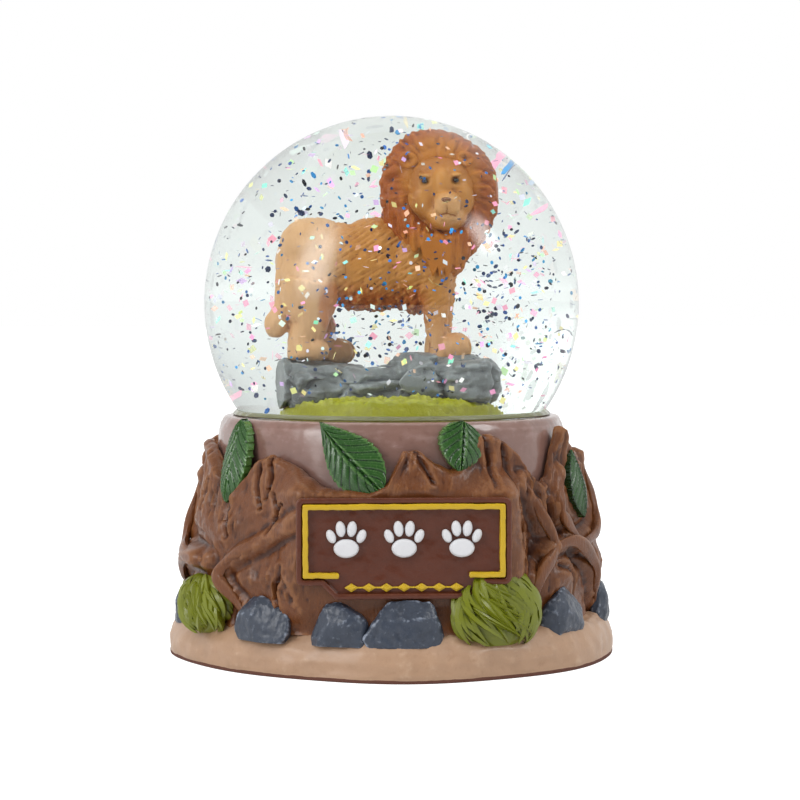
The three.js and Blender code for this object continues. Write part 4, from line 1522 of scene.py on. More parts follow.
    def emblem(self) -> None:
        """Three white paw prints in relief."""
        lower, upper = low("sign_emblem"), high("sign_emblem")
        middle, size = (lower.z + upper.z) / 2 + 0.1, 1.7
        pads = [(0, -0.9, 1.5, 1.12, 0), (-1.75, 0.5, 0.54, 0.85, 24), (-0.65, 1.35, 0.58, 0.95, 8),
                (0.65, 1.35, 0.58, 0.95, -8), (1.75, 0.5, 0.54, 0.85, -24)]
        pieces = [
            self.oval("pad", x + dx * size, middle + dz * size, wide * size, tall * size, turn)
            for x in (-11.4, 0.0, 11.4)
            for dx, dz, wide, tall, turn in pads
        ]
        piece = joined("sign_paw_prints", pieces)
        modify(piece, "SUBSURF", levels=1, render_levels=1)
        done(piece, Finish.WHITE, "sign_emblem", depth=0.3)

    def chain(self) -> None:
        """The row of yellow lozenges on the lower lip."""
        lower, upper = low("sign_chain"), high("sign_chain")
        middle, tall = (lower.z + upper.z) / 2, (upper.z - lower.z) / 2
        count, half = 7, 1.42
        pieces = []
        for index in range(count):
            x = lower.x + half + index * (upper.x - lower.x - 2 * half) / (count - 1)
            corners = [(x + half, middle), (x, middle + tall), (x - half, middle), (x, middle - tall)]
            piece = self.drawn("lozenge", corners, self.face - 0.1)
            with editing(piece):
                self.raise_face(0.7)
                bpy.ops.mesh.inset(thickness=0.3 * MM)
                self.raise_face(0.36)
            tidy_mesh(piece)
            pieces.append(piece)
        corners = [(lower.x + 1, middle - 0.16), (upper.x - 1, middle - 0.16),
                   (upper.x - 1, middle + 0.16), (lower.x + 1, middle + 0.16)]
        link = self.drawn("link", corners, self.face - 0.1)
        with editing(link):
            self.raise_face(0.5)
        tidy_mesh(link)
        piece = joined("sign_lozenges", [*pieces, link])
        cast(piece, 0.11, 1)
        done(piece, Finish.YELLOW, "sign_chain", depth=0.2)

    def build(self) -> None:
        """Builds the board and what is on it."""
        self.board()
        self.border()
        self.emblem()
        self.chain()


# ------------------------------------------------------------------ the globe
@dataclass
class Globe:
    """The glass ball with its neck, the liquid in it, the stopper below and the bead of sealant round it."""

    wall: float = 1.8
    steps: int = 128

    def __post_init__(self) -> None:
        """Takes the ball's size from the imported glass."""
        self.radius = high("glass_globe").x
        self.centre = high("glass_globe").z - self.radius
        self.neck = high("rubber_stopper").x

    def arc(self, radius: float, neck: float) -> list[tuple[float, float]]:
        """The ball's section from its top down to its neck.

        Args:
            radius: the ball's radius.
            neck: the neck's radius.

        Returns:
            (radius, height) points.
        """
        end = math.pi - math.asin(neck / radius)
        return [(radius * math.sin(a), self.centre + radius * math.cos(a)) for a in np.linspace(0, end, 84)]

    def glass(self) -> None:
        """The glass, whose inner face meets the liquid."""
        inner_neck = self.neck - self.wall
        foot = low("glass_globe").z
        outer = self.arc(self.radius, self.neck)
        inner = self.arc(self.radius - self.wall, inner_neck)[::-1]
        lip = [(self.neck, foot + 0.5), (self.neck - 0.5, foot), (inner_neck + 0.5, foot),
               (inner_neck, foot + 0.5)]
        piece = turned("glass_ball", [*outer, *lip, *inner], self.steps)
        done(piece, Finish.GLASS, "glass_globe", angle=60)
        piece.data.materials.append(Finish.GLASS_WET.material())
        for face in piece.data.polygons:
            middle = Vector(face.center) / MM
            towards = Vector((0, 0, self.centre))
            face.material_index = int(Vector(face.normal).dot(towards - middle) > 0 and middle.z > foot + 0.6)

    def liquid(self) -> None:
        """The liquid that fills the ball down to the stopper."""
        foot, radius = low("liquid_fill").z, high("liquid_fill").x
        neck = math.sqrt(radius**2 - (self.centre - foot) ** 2)
        piece = turned("liquid_ball", [*self.arc(radius, neck), (0.0, foot)], self.steps)
        done(piece, Finish.WATER, "liquid_fill", angle=60)

    def stopper(self) -> None:
        """The ribbed stopper in the neck."""
        bottom, top = low("rubber_stopper").z, high("rubber_stopper").z
        plug = self.neck - self.wall - 0.3
        flange = bottom + 2.4
        ribs = [(plug - 0.3 + 0.3 * math.cos(k * 1.6), flange + 1.8 + k * 0.45) for k in range(20)]
        profile = [(0, bottom), (self.neck - 0.4, bottom), (self.neck, bottom + 0.4),
                   (self.neck, flange - 0.3), (self.neck - 0.3, flange), (plug - 0.6, flange), *ribs,
                   (plug - 1.2, top - 0.3), (plug - 1.6, top), (0, top)]
        piece = turned("stopper_plug", profile, 96)
        done(piece, Finish.RUBBER, "rubber_stopper")

    def contact(self, height: float) -> float:
        """The radius just outside the ball at a height."""
        return math.sqrt((self.radius + 0.08) ** 2 - (self.centre - height) ** 2)

    def bead(self) -> None:
        """The bead of sealant, laid by hand where the ball meets the stump."""
        bottom, top = low("sealant_bead").z, high("sealant_bead").z
        under, over = self.contact(bottom), self.contact(top)
        widest = high("sealant_bead").x
        profile = [(under, bottom), (widest - 0.15, bottom), (widest, bottom + 0.2),
                   (widest - 0.3, bottom + 0.6), (over + 0.2, top - 0.08), (over, top)]
        piece = turned("sealant_line", profile, 220)
        spots = points_of(piece)
        radius = np.hypot(spots[:, 0], spots[:, 1])
        outside = smoothstep(radius, under + 0.5, under + 1.2)
        spots[:, :2] *= (1 - 0.008 * outside * np.abs(clouds(spots, 0.3, 3.3, 2)))[:, None]
        put_points(piece, spots)
        done(piece, Finish.SEALANT, "sealant_bead")

    def build(self) -> None:
        """Builds the glass and what seals it."""
        self.liquid()
        self.glass()
        self.stopper()
        self.bead()


# ------------------------------------------------------------------ what stands in the globe
@dataclass(frozen=True)
class Lump:
    """An egg-shaped mass of the figure: its middle, its half sizes, and its lean about Y in degrees."""

    middle: Colour
    half: Colour
    lean: float = 0.0

    def build(self, name: str) -> Piece:
        """Builds the mass.

        Args:
            name: the piece's name.

        Returns:
            The new object.
        """
        piece = primitive("uv_sphere", name, segments=40, ring_count=24, radius=1.0)
        spots = points_of(piece) * MM * np.array(self.half)
        x, z = rotated(spots[:, 0], spots[:, 2], -self.lean)
        put_points(piece, np.stack([x, spots[:, 1], z], 1) + np.array(self.middle))
        return piece


@dataclass(frozen=True)
class Limb:
    """A round limb or lock of hair: (x, y, z, radius) marks along it, and its flatness."""

    marks: Sequence[tuple[float, float, float, float]]
    flat: float = 1.0
    sides: int = 16
    steps: int = 18

    def build(self, name: str) -> Piece:
        """Builds the limb as a closed tube.

        Args:
            name: the piece's name.

        Returns:
            The new object.
        """
        curve = smooth_curve(self.marks, self.steps)
        spine, radius = curve[:, :3], np.maximum(curve[:, 3], 0.02)
        tangent = np.gradient(spine, axis=0)
        tangent /= np.linalg.norm(tangent, axis=1)[:, None]
        side = np.cross(tangent, [0.03, 1.0, 0.02])
        side /= np.linalg.norm(side, axis=1)[:, None]
        face = np.cross(side, tangent)

        def place(u: Array, v: Array) -> Array:
            index = np.clip(np.round(v * self.steps).astype(int), 0, self.steps)
            turn = 2 * np.pi * u
            reach = radius[index] * np.where((index == 0) | (index == self.steps), 0.0, 1.0)
            wide, tall = reach * np.cos(turn), self.flat * reach * np.sin(turn)
            return spine[index] + side[index] * wide[:, None] + face[index] * tall[:, None]

        return mapped(name, self.sides, self.steps, place)


BODY_LUMPS: tuple[Lump, ...] = (
    Lump((-12.2, 0.2, 80.9), (6.7, 6.2, 7.3)),
    Lump((-13.6, -0.8, 83.6), (4.9, 4.8, 4.7)),
    Lump((-13.9, -1.0, 78.6), (5.0, 5.0, 6.0)),
    Lump((-3.6, 0, 80.0), (11.4, 5.6, 6.9)),
    Lump((-2.4, 0, 81.8), (7.6, 5.2, 6.3)),
    Lump((-8.6, 0, 81.2), (6.4, 5.4, 6.1)),
    Lump((4.2, -0.2, 80.4), (6.4, 6.2, 7.8)),
    Lump((6.6, -1, 87.5), (5.8, 5.4, 7.6)),
    Lump((-14.0, -3.6, 76), (4.9, 3, 6.6)),
    Lump((-13.4, 3.2, 76), (4.8, 3, 6.4)),
    Lump((6.4, -3.6, 79.0), (3.3, 3.0, 6.2)),
)

HEAD_LUMPS: tuple[Lump, ...] = (
    Lump((8.0, -3.4, 93.6), (6.1, 4.9, 6.1)),
    Lump((8.0, -5.0, 96.4), (4.8, 2.7, 3.2)),
    Lump((5.1, -6.0, 91.8), (2.6, 2.2, 3.2)),
    Lump((11.4, -6.0, 92.0), (2.3, 2.2, 3.2)),
    Lump((8.2, -7.4, 94.6), (1.7, 2.2, 3.2)),
    Lump((9.1, -9.2, 91.7), (2.35, 2.5, 2.05)),
    Lump((8.2, -9.9, 90.7), (1.45, 1.5, 1.25)),
    Lump((10.05, -9.9, 90.75), (1.4, 1.5, 1.25)),
    Lump((9.1, -8.8, 89.2), (1.9, 1.9, 1.3)),
    Lump((8.9, -6.6, 88.9), (3.5, 2.9, 2.4)),
    Lump((5.3, -7.6, 96.3), (1.3, 0.7, 0.45), 12),
    Lump((10.7, -7.5, 96.6), (1.2, 0.7, 0.45), -12),
)

LIMBS: tuple[Limb, ...] = (
    Limb([(-14.2, -4, 79, 4.2), (-14.8, -4.1, 75.2, 3.9), (-13.9, -4.3, 71.2, 3.3), (-15.0, -4.2, 68.2, 2.7),
          (-14.9, -4.2, 65.8, 2.9), (-14.8, -4.2, 64.9, 2.6)]),
    Limb([(-13.2, 3.4, 79, 3.9), (-13.0, 3.5, 74, 3.5), (-11.3, 3.7, 70.4, 2.7), (-10.8, 3.7, 67.8, 2.4),
          (-9.8, 3.6, 65.8, 2.4), (-9.8, 3.6, 64.9, 2.2)]),
    Limb([(6.6, -3.6, 80.5, 3.6), (6.9, -3.9, 76, 2.6), (7.1, -4.0, 71, 1.95), (7.1, -4.1, 67.4, 1.9),
          (7.4, -4.2, 65.4, 2.2), (7.4, -4.2, 64.9, 2.0)]),
    Limb([(7.4, 3.0, 80.5, 3.4), (7.8, 3.2, 76, 2.4), (7.9, 3.2, 71, 1.85), (8.0, 3.2, 67.4, 1.85),
          (8.4, 3.2, 65.4, 2.1), (8.4, 3.2, 64.9, 1.9)]),
    Limb([(-14.6, 0.4, 85.0, 1.3), (-17.4, -0.6, 82.6, 1.3), (-18.1, -1.4, 77.6, 1.25),
          (-18.4, -2.4, 73.6, 1.4), (-19.5, -3.0, 70.9, 2.1), (-19.1, -3.0, 68.4, 1.3)]),
)

PAWS: tuple[Lump, ...] = (
    Lump((-13.4, -4.6, 66.5), (2.9, 2.6, 2.0)),
    Lump((-8.3, 3.4, 66.6), (2.8, 2.3, 2.2)),
    Lump((10.4, -4.4, 66.9), (2.75, 2.5, 2.6)),
    Lump((10.2, 3.1, 66.7), (2.7, 2.2, 2.3)),
)


MANE_HEM = ((-2.4, 90.2), (-1.0, 88.0), (3.4, 81.2), (5.2, 78.6), (8.5, 78.0), (12.4, 80.4), (15.4, 84.6))


@dataclass(frozen=True)
class Lion:
    """The lion: its body and head in one casting, its mane, and its ears, eyes and nose."""

    face: Colour = (8.2, -7.4, 93.6)
    ears: tuple[Colour, ...] = ((2.5, -5.5, 98.8), (12.6, -5.4, 99.5))
    eyes: tuple[Colour, ...] = ((5.2, -7.9, 95.2), (10.7, -7.9, 95.5))

    def body(self) -> Piece:
        """The body and head, with combed fur.

        Returns:
            The piece.
        """
        shapes = [*BODY_LUMPS, *HEAD_LUMPS, *LIMBS, *PAWS]
        piece = joined("lion_body", [shape.build("lump") for shape in shapes])
        cast(piece, 0.27, 9)
        spots, normals = points_of(piece), normals_of(piece)
        head = smoothstep(spots[:, 0], 2.0, 4.0) * smoothstep(spots[:, 2], 85, 88)
        rump = 1 - smoothstep(spots[:, 0], -12, -7)
        legs = 1 - smoothstep(spots[:, 2], 68, 74)
        slant = spots.copy()
        slant[:, 2] -= 0.6 * spots[:, 0] * (1 - head)
        flank = clouds(slant, (0.3, 0.9, 2.1), 3.7, 2)
        strands = clouds(spots, (1.25, 1.2, 0.26), 8.2, 3)
        under = smoothstep(spots[:, 0], -9.5, -7) * (1 - smoothstep(spots[:, 0], 4, 6))
        fringe = (1 - smoothstep(spots[:, 2], 74.5, 79)) * smoothstep(spots[:, 2], 70, 71) * under
        tufts = clouds(spots, (1.1, 0.9, 0.3), 6.1, 3)
        soft = clouds(spots, (0.5, 0.5, 0.5), 1.9, 2)
        lift = (0.22 * flank * (1 - head) * (1 - 0.8 * rump) * (1 - legs) + 0.13 * strands * (1 - head)
                + 0.5 * tufts * fringe + 0.08 * soft + 0.05 * strands * head)
        lift -= self.creases(spots)
        top, bottom = high("lion").z, high("rock_ledge").z - 0.5
        spots = spots + normals * lift[:, None]
        spots[:, 2] = np.clip(spots[:, 2], bottom, top)
        put_points(piece, spots)
        done(piece, Finish.FUR, "lion", depth=0.24, angle=80)
        return piece

    def creases(self, spots: Array) -> Array:
        """How deep the face's and paws' lines are at each place.

        Args:
            spots: the places, one per row.

        Returns:
            The depths.
        """
        x, y, z = spots.T
        front = smoothstep(-y, 6.4, 7.4)
        depth = 0.0 * x
        for eye in self.eyes:
            reach = np.hypot(x - eye[0], z - eye[2])
            depth += front * (0.45 * ridge(reach, 0.7) - 0.14 * ridge(reach - 1.1, 0.35))
        line = ridge(x - 8.95, 0.17) * smoothstep(z, 89.6, 90.0) * (1 - smoothstep(z, 91.2, 91.5))
        bow = 89.75 - 0.3 * np.minimum(np.abs(x - 8.95), 2.2)
        mouth = ridge(z - bow, 0.2) * (1 - smoothstep(np.abs(x - 8.95), 1.7, 2.5))
        depth += smoothstep(-y, 9.0, 10.2) * 0.3 * np.maximum(line, mouth)
        for paw in PAWS:
            ahead = smoothstep(x, paw.middle[0], paw.middle[0] + 1.4) * (1 - smoothstep(z, 67.4, 68.4))
            for gap in (-0.85, 0.0, 0.85):
                on_paw = np.abs(y - paw.middle[1]) < 2.6
                depth += 0.45 * ahead * ridge(y - paw.middle[1] - gap, 0.16) * on_paw
        return depth

    def lock(self, draw: random.Random, turn: float, front: float) -> Limb:
        """One lock of the mane's crown, combed back from the face and then down.

        Args:
            draw: the source of its differences.
            turn: where it starts round the face, in degrees from the right.
            front: where it starts between the face, 0, and the back, 1.

        Returns:
            The lock.
        """
        middle, half = np.array((7.9, -1.3, 92.9)), np.array((8.75, 5.75, 10.6))
        marks = []
        length = draw.uniform(0.34, 0.5)
        for step, radius in enumerate((0.3, 0.75, 0.85, 0.66, 0.25)):
            along = front + length * step / 4
            fall = math.cos(math.radians(turn)) * 26 * (step / 4) ** 1.3
            bearing = math.radians(turn - fall)
            polar = math.radians(48 + 84 * along)
            out = math.sin(polar)
            spot = (out * math.cos(bearing), -math.cos(polar), out * math.sin(bearing))
            swell = 1 + 0.05 * math.sin(math.pi * step / 4)
            marks.append((*(middle + half * np.array(spot) * swell), radius * draw.uniform(0.85, 1.1)))
        return Limb(marks, 0.7, 10, 12)

    @staticmethod
    def hem(x: float) -> float:
        """The height of the mane's lower edge, which climbs from the chest back to the neck."""
        places, heights = zip(*MANE_HEM)
        return float(np.interp(x, places, heights))

    def bib(self, draw: random.Random, bearing: float, rise: float) -> Limb:
        """One lock of the mane on the neck and chest, falling forward to the mane's lower edge.

        Args:
            draw: the source of its differences.
            bearing: its bearing about the neck, 0 at the front.
            rise: how far above the lower edge it ends.

        Returns:
            The lock.
        """
        turn = math.radians(bearing)
        marks = []
        drop = draw.uniform(4.5, 7.0)
        sweep = draw.uniform(-0.08, 0.1)
        end = self.hem(6.6 + 7.9 * math.sin(turn)) + rise
        for step, radius in enumerate((0.3, 0.75, 0.85, 0.62, 0.2)):
            height = end + drop * (1 - step / 4)
            share = max(0.0, min(1.0, (height - 76) / 17))
            wide, deep = 4.6 + 4.0 * share**0.7, 5.3 + 1.0 * math.sin(math.pi * share)
            x = 7.1 + 0.2 * share + wide * math.sin(turn + sweep * step / 4)
            y = -1.6 - deep * math.cos(turn + sweep * step / 4)
            marks.append((x, y, height, radius * draw.uniform(0.85, 1.15)))
        return Limb(marks, 0.75, 10, 12)

    def mane(self) -> Piece:
        """The mane, in overlapping combed locks.

        Returns:
            The piece.
        """
        draw = random.Random(11)
        masses = [Lump((7.9, -1.1, 92.9), (9.1, 6.0, 10.9), 8), Lump((7.4, -1.5, 86.4), (7.3, 5.7, 6.4)),
                  Lump((4.4, -0.4, 88.6), (6.0, 5.6, 5.6), -20), Lump((7.5, -2.3, 82.0), (4.6, 4.7, 4.2))]
        shapes = [mass.build("lump") for mass in masses]
        for front, count in ((0.0, 38), (0.2, 42), (0.42, 42), (0.66, 30)):
            for index in range(count):
                turn = 360 * (index + draw.uniform(-0.25, 0.25)) / count
                shapes.append(self.lock(draw, turn, front + draw.uniform(-0.05, 0.05)).build("lock"))
        for rise, count in ((6.4, 30), (4.2, 34), (2.1, 36), (0.2, 36)):
            for index in range(count):
                bearing = 360 * (index + draw.uniform(-0.3, 0.3)) / count
                if self.hem(6.6 + 7.9 * math.sin(math.radians(bearing))) + rise > 89.4:
                    continue
                shapes.append(self.bib(draw, bearing, rise + draw.uniform(-0.6, 0.6)).build("lock"))
        piece = joined("lion_mane_locks", shapes)
        cast(piece, 0.25, 2)
        self.open_face(piece)
        spots, normals = points_of(piece), normals_of(piece)
        offset = spots - np.array(self.face)
        turn = np.arctan2(offset[:, 2], offset[:, 0])
        reach = np.hypot(offset[:, 0], offset[:, 2])
        round_face = np.stack([np.cos(turn) * 9, np.sin(turn) * 9, 0.10 * reach], 1)
        crown = smoothstep(spots[:, 2], 86, 92)
        strands = crown * clouds(round_face, (1.3, 1.3, 1.0), 2.0, 3)
        slant = spots + [0, 0, 1] * spots[:, :1] * 0.3
        strands += 1.7 * (1 - crown) * clouds(slant, (1.0, 1.0, 0.17), 7.0, 3)
        lift = 0.24 * strands + 0.1 * clouds(spots, 0.5, 5.0, 2)
        spots = spots + normals * lift[:, None]
        back = high("lion_mane").y
        over = np.maximum(spots[:, 1] - back + 2.2, 0)
        spots[:, 1] = np.where(over > 0, back - 2.2 * np.exp(-over / 2.2), spots[:, 1])
        spots = np.clip(spots, np.array(low("lion_mane")), np.array(high("lion_mane")))
        put_points(piece, spots)
        done(piece, Finish.MANE, "lion_mane", depth=0.24, angle=80)
        return piece

    def open_face(self, piece: Piece) -> None:
        """Presses the mane back where the face comes through it.

        Args:
            piece: the mane.
        """
        spots = points_of(piece)
        reach = np.hypot((spots[:, 0] - self.face[0]) / 5.4, (spots[:, 2] - self.face[2] + 0.7) / 6.4)
        front = smoothstep(-spots[:, 1], 1.0, 3.0)
        press = front * (1 - smoothstep(reach, 0.76, 1.3))
        pressed = spots[:, 1] * (1 - press) + np.maximum(spots[:, 1], -5.0) * press
        spots[:, 1] = np.where(press > 0, pressed, spots[:, 1])
        put_points(piece, spots)

    def features(self) -> None:
        """The two ears, the two eyes and the nose."""
        for name, (x, y, z) in zip(("lion_ear_left", "lion_ear_right"), self.ears):
            ear = Lump((x, y, z), (1.7, 1.05, 1.65)).build(name)
            spots = points_of(ear)
            reach = np.hypot(spots[:, 0] - x, spots[:, 2] - z - 0.1)
            front = spots[:, 1] < y
            swirl = np.sin(5 * np.arctan2(spots[:, 2] - z, spots[:, 0] - x))
            spots[:, 1] += front * (1.2 * ridge(reach, 0.85) + 0.08 * swirl)
            put_points(ear, spots)
            done(ear, Finish.MANE)
        for name, eye in zip(("lion_eye_left", "lion_eye_right"), self.eyes):
            ball = Lump((eye[0], eye[1] + 0.3, eye[2]), (0.5, 0.5, 0.44)).build(name)
            done(ball, Finish.EYE)
        nose = Lump((8.9, -11.25, 92.3), (0.95, 0.7, 0.52)).build("lion_nose")
        spots = points_of(nose)
        for side in (-1, 1):
            reach = np.hypot(spots[:, 0] - 8.9 - side * 0.42, spots[:, 2] - 92.2)
            spots[:, 1] += 0.3 * ridge(reach, 0.22) * (spots[:, 1] < -11.2)
        spots[:, 0] = 8.9 + (spots[:, 0] - 8.9) * (0.72 + 0.34 * smoothstep(spots[:, 2], 91.8, 92.7))
        put_points(nose, spots)
        done(nose, Finish.NOSE)

    def build(self) -> list[Piece]:
        """Builds the lion.

        Returns:
            The body and the mane, which nothing else may cross.
        """
        body, mane = self.body(), self.mane()
        self.features()
        return [body, mane]


@dataclass(frozen=True)
class Outcrop:
    """The grey ledge that the lion stands on, and the meadow round its foot."""

    @staticmethod
    def boulder(middle: Colour, half: Colour, seed: int) -> Piece:
        """One squarish boulder with flat broken faces.

        Args:
            middle: its middle.
            half: its half sizes.
            seed: the seed of its breaks.

        Returns:
            The boulder.
        """
        draw = random.Random(seed)
        shape = primitive("ico_sphere", "boulder", subdivisions=3, radius=1.0)
        spots = points_of(shape) * MM
        spots = np.sign(spots) * np.abs(spots) ** 0.82
        spots *= np.array([[draw.uniform(0.86, 1.04)] for _ in spots])
        lean = math.radians(draw.uniform(-13, 13))
        spots[:, 2] += spots[:, 0] * math.tan(lean) * half[0] / half[2] * 0.5
        x, y = spots[:, 0] * half[0], spots[:, 1] * half[1]
        spots[:, 0], spots[:, 1] = rotated(x, y, draw.uniform(-20, 20))
        spots[:, 2] *= half[2]
        put_points(shape, spots + np.array(middle))
        with editing(shape):
            bpy.ops.mesh.convex_hull()
            bpy.ops.mesh.dissolve_limited(angle_limit=math.radians(22))
            bpy.ops.mesh.quads_convert_to_tris()
        return shape

    def ledge(self) -> Piece:
        """The ledge, of broken slabs with worn edges and deep fractures.

        Returns:
            The piece.
        """
        lower, upper = low("rock_ledge"), high("rock_ledge")
        boulders = [
            ((-11.2, -0.6, 61.2), (8.5, 10.4, 4.7), 3), ((9.4, -0.4, 61.4), (8.8, 11.2, 5.0), 14),
            ((-1.2, -4.4, 60.2), (7.6, 7.4, 4.0), 9), ((3.4, -6.4, 61.2), (5.8, 6.0, 5.3), 21),
            ((-15.2, -4.0, 59.4), (4.6, 6.6, 4.0), 5), ((13.2, -5.6, 60.6), (5.2, 6.6, 5.2), 27),
            ((0.4, 6.0, 60.4), (9.6, 6.2, 4.6), 33), ((-6.8, -7.6, 59.4), (5.8, 4.6, 4.2), 38),
        ]
        shapes = [self.boulder(middle, half, seed) for middle, half, seed in boulders]
        piece = joined("ledge_rock", shapes)
        cast(piece, 0.32, 2)
        spots, normals = points_of(piece), normals_of(piece)
        cells = []
        for spot in spots:
            tilted = Vector((spot[0] * 0.09 + spot[2] * 0.06, spot[1] * 0.08, spot[2] * 0.1 - spot[0] * 0.05))
            distance, _ = noise.voronoi(tilted + Vector((3.3, 1.7, 8.2)))
            cells.append(distance[1] - distance[0])
        side = 1 - smoothstep(normals[:, 2], 0.5, 0.9)
        gash = ridge(np.array(cells), 0.1) * (0.35 + 0.65 * side)
        layers = clouds(spots, (0.12, 0.12, 0.55), 4.0, 3)
        grit = clouds(spots, 0.8, 6.0, 3)
        lift = -1.15 * gash + 0.6 * layers * (0.3 + 0.7 * side) + 0.14 * grit
        spots = spots + normals * lift[:, None]
        spots = np.clip(spots, np.array(lower) + [-0.6, 0, -1.5], np.array(upper) + [0.6, 0, 0.9])
        put_points(piece, spots)
        done(piece, Finish.LEDGE, "rock_ledge", depth=0.32, angle=80)
        return piece

    def meadow(self) -> Piece:
        """The meadow, a lumpy mound of short grass.

        Returns:
            The piece.
        """
        lower, upper = low("meadow_mound"), high("meadow_mound")
        reach = upper.x

        def place(u: Array, v: Array) -> Array:
            turn = 2 * np.pi * u
            top = np.clip(v / 0.7, 0, 1)
            side = np.clip((v - 0.7) / 0.2, 0, 1)
            under = np.clip((v - 0.9) / 0.1, 0, 1)
            radius = reach * (0.9 * top + 0.06 * side) * (1 - under)
            height = upper.z + 0.2 - 1.3 * top**6 - (upper.z - 1.1 - lower.z) * side
            spots = np.stack([radius * np.cos(turn), radius * np.sin(turn), height], 1)
            bumps = clouds(spots, 0.35, 3.0, 3)
            blades = clouds(spots, 1.5, 9.0, 3)
            free = smoothstep(v, 0.02, 0.1) * (1 - smoothstep(v, 0.86, 0.92))
            spots[:, 2] += free * (0.8 * bumps + 0.55 * blades) * (1 - side)
            swell = 1 + free * side * (0.02 * bumps + 0.016 * blades)
            return spots * np.stack([swell, swell, np.ones_like(swell)], 1)

        piece = mapped("meadow_grass", 240, 90, place)
        done(piece, Finish.MEADOW, "meadow_mound", depth=0.4, angle=80)
        return piece

    def build(self) -> list[Piece]:
        """Builds the ledge and the meadow, and returns them."""
        return [self.ledge(), self.meadow()]


@dataclass(frozen=True)
class Glitter:
    """The glitter in the liquid: film squares and hexagonal dots, each with its own colour and turn."""

    centre: Colour = (0.0, 0.0, 74.2)
    reach: float = 35.4
    squares: int = 620
    dots: int = 1350
    film: tuple[tuple[Colour, float], ...] = (
        ((1.0, 0.4, 0.62), 24), ((1.0, 0.58, 0.4), 13), ((0.95, 0.88, 0.36), 16), ((0.3, 0.9, 0.78), 8),
        ((0.8, 0.5, 0.95), 9), ((0.6, 0.9, 0.45), 6), ((0.85, 0.88, 0.92), 24),
    )
    inks: tuple[tuple[Colour, float], ...] = (
        ((0.012, 0.03, 0.11), 38), ((0.02, 0.12, 0.42), 22), ((0.04, 0.36, 0.8), 16),
        ((0.012, 0.016, 0.03), 14), ((0.8, 0.84, 0.9), 10),
    )

    def spot(self, draw: random.Random, solids: Sequence[Piece]) -> Vector:
        """A free place in the liquid, in millimetres, more often low and to the right.

        Args:
            draw: the source of chance.
            solids: the pieces that a flake may not touch.

        Returns:
            The place.
        """
        while True:
            spot = Vector([draw.uniform(-self.reach, self.reach) for _ in range(3)])
            if spot.length > self.reach or spot.z < -17:
                continue
            wanted = 0.55 + 0.2 * (spot.x / self.reach) - 0.3 * (spot.z / self.reach)
            wanted += 0.12 * (spot.length / self.reach)
            if draw.random() > wanted:
                continue
            place = spot + Vector(self.centre)
            if all(self.free(place, solid) for solid in solids):
                return place

    @staticmethod
    def free(place: Vector, solid: Piece) -> bool:
        """Whether a place is outside a piece by more than a flake's half width."""
        _, near, normal, _ = solid.closest_point_on_mesh(place * MM)
        gap = place - near / MM
        return gap.dot(normal) > 0 and gap.length > 0.8

    def flakes(
        self, name: str, count: int, corners: int, size: tuple[float, float], thick: float,
        colours: Sequence[tuple[Colour, float]], clearness: tuple[float, float], seed: int, finish: Finish,
        solids: Sequence[Piece],
    ) -> None:
        """All the flakes of one kind, as one mesh of closed plates.

        Args:
            name: the piece's name.
            count: how many.
            corners: each plate's corners.
            size: the least and greatest radius, to the corners.
            thick: a plate's thickness.
            colours: the colours, each with its weight.
            clearness: the least and greatest opacity.
            seed: the seed of chance.
            finish: the finish.
            solids: the pieces that a flake may not touch.
        """
        draw = random.Random(seed)
        pattern = primitive("cylinder", name, vertices=corners, radius=1.0, depth=1.0)
        shape = points_of(pattern) * MM
        bands = len(shape)
        with editing(pattern):
            bpy.ops.mesh.normals_make_consistent(inside=False)
        copies = [pattern]
        for _ in range(count - 1):
            twin = bpy.data.objects.new(name, pattern.data.copy())
            bpy.context.scene.collection.objects.link(twin)
            copies.append(twin)
        piece = joined(name, copies)
        places, shades = [], []
        for _ in range(count):
            radius = draw.uniform(*size)
            axis = Vector([draw.gauss(0, 1) for _ in range(3)]).normalized()
            turn = Matrix.Rotation(draw.uniform(0, 2 * math.pi), 3, axis)
            middle = self.spot(draw, solids)
            scaled = shape * [radius, radius * draw.uniform(0.85, 1.0), thick]
            places.append(scaled @ np.array(turn).T + np.array(middle))
            colour = draw.choices([c for c, _ in colours], [w for _, w in colours])[0]
            clear = draw.uniform(*clearness)
            shades.append([(*(min(1.0, part * draw.uniform(0.85, 1.1)) for part in colour), clear)] * bands)
        put_points(piece, np.vstack(places))
        tint = piece.data.color_attributes.new("flake", "FLOAT_COLOR", "POINT")
        tint.data.foreach_set("color", np.array(shades).ravel())
        activate(piece)
        bpy.ops.object.shade_flat()
        belongs(piece, finish)

    def build(self, solids: Sequence[Piece]) -> None:
        """Builds the flakes.

        Args:
            solids: the pieces that a flake may not touch.
        """
        self.flakes(
            "glitter_squares", self.squares, 4, (0.5, 0.8), 0.04, self.film, (0.25, 0.75), 17, Finish.FILM,
            solids,
        )
        self.flakes(
            "glitter_dots", self.dots, 6, (0.26, 0.44), 0.05, self.inks, (1.0, 1.0), 23, Finish.INK, solids
        )


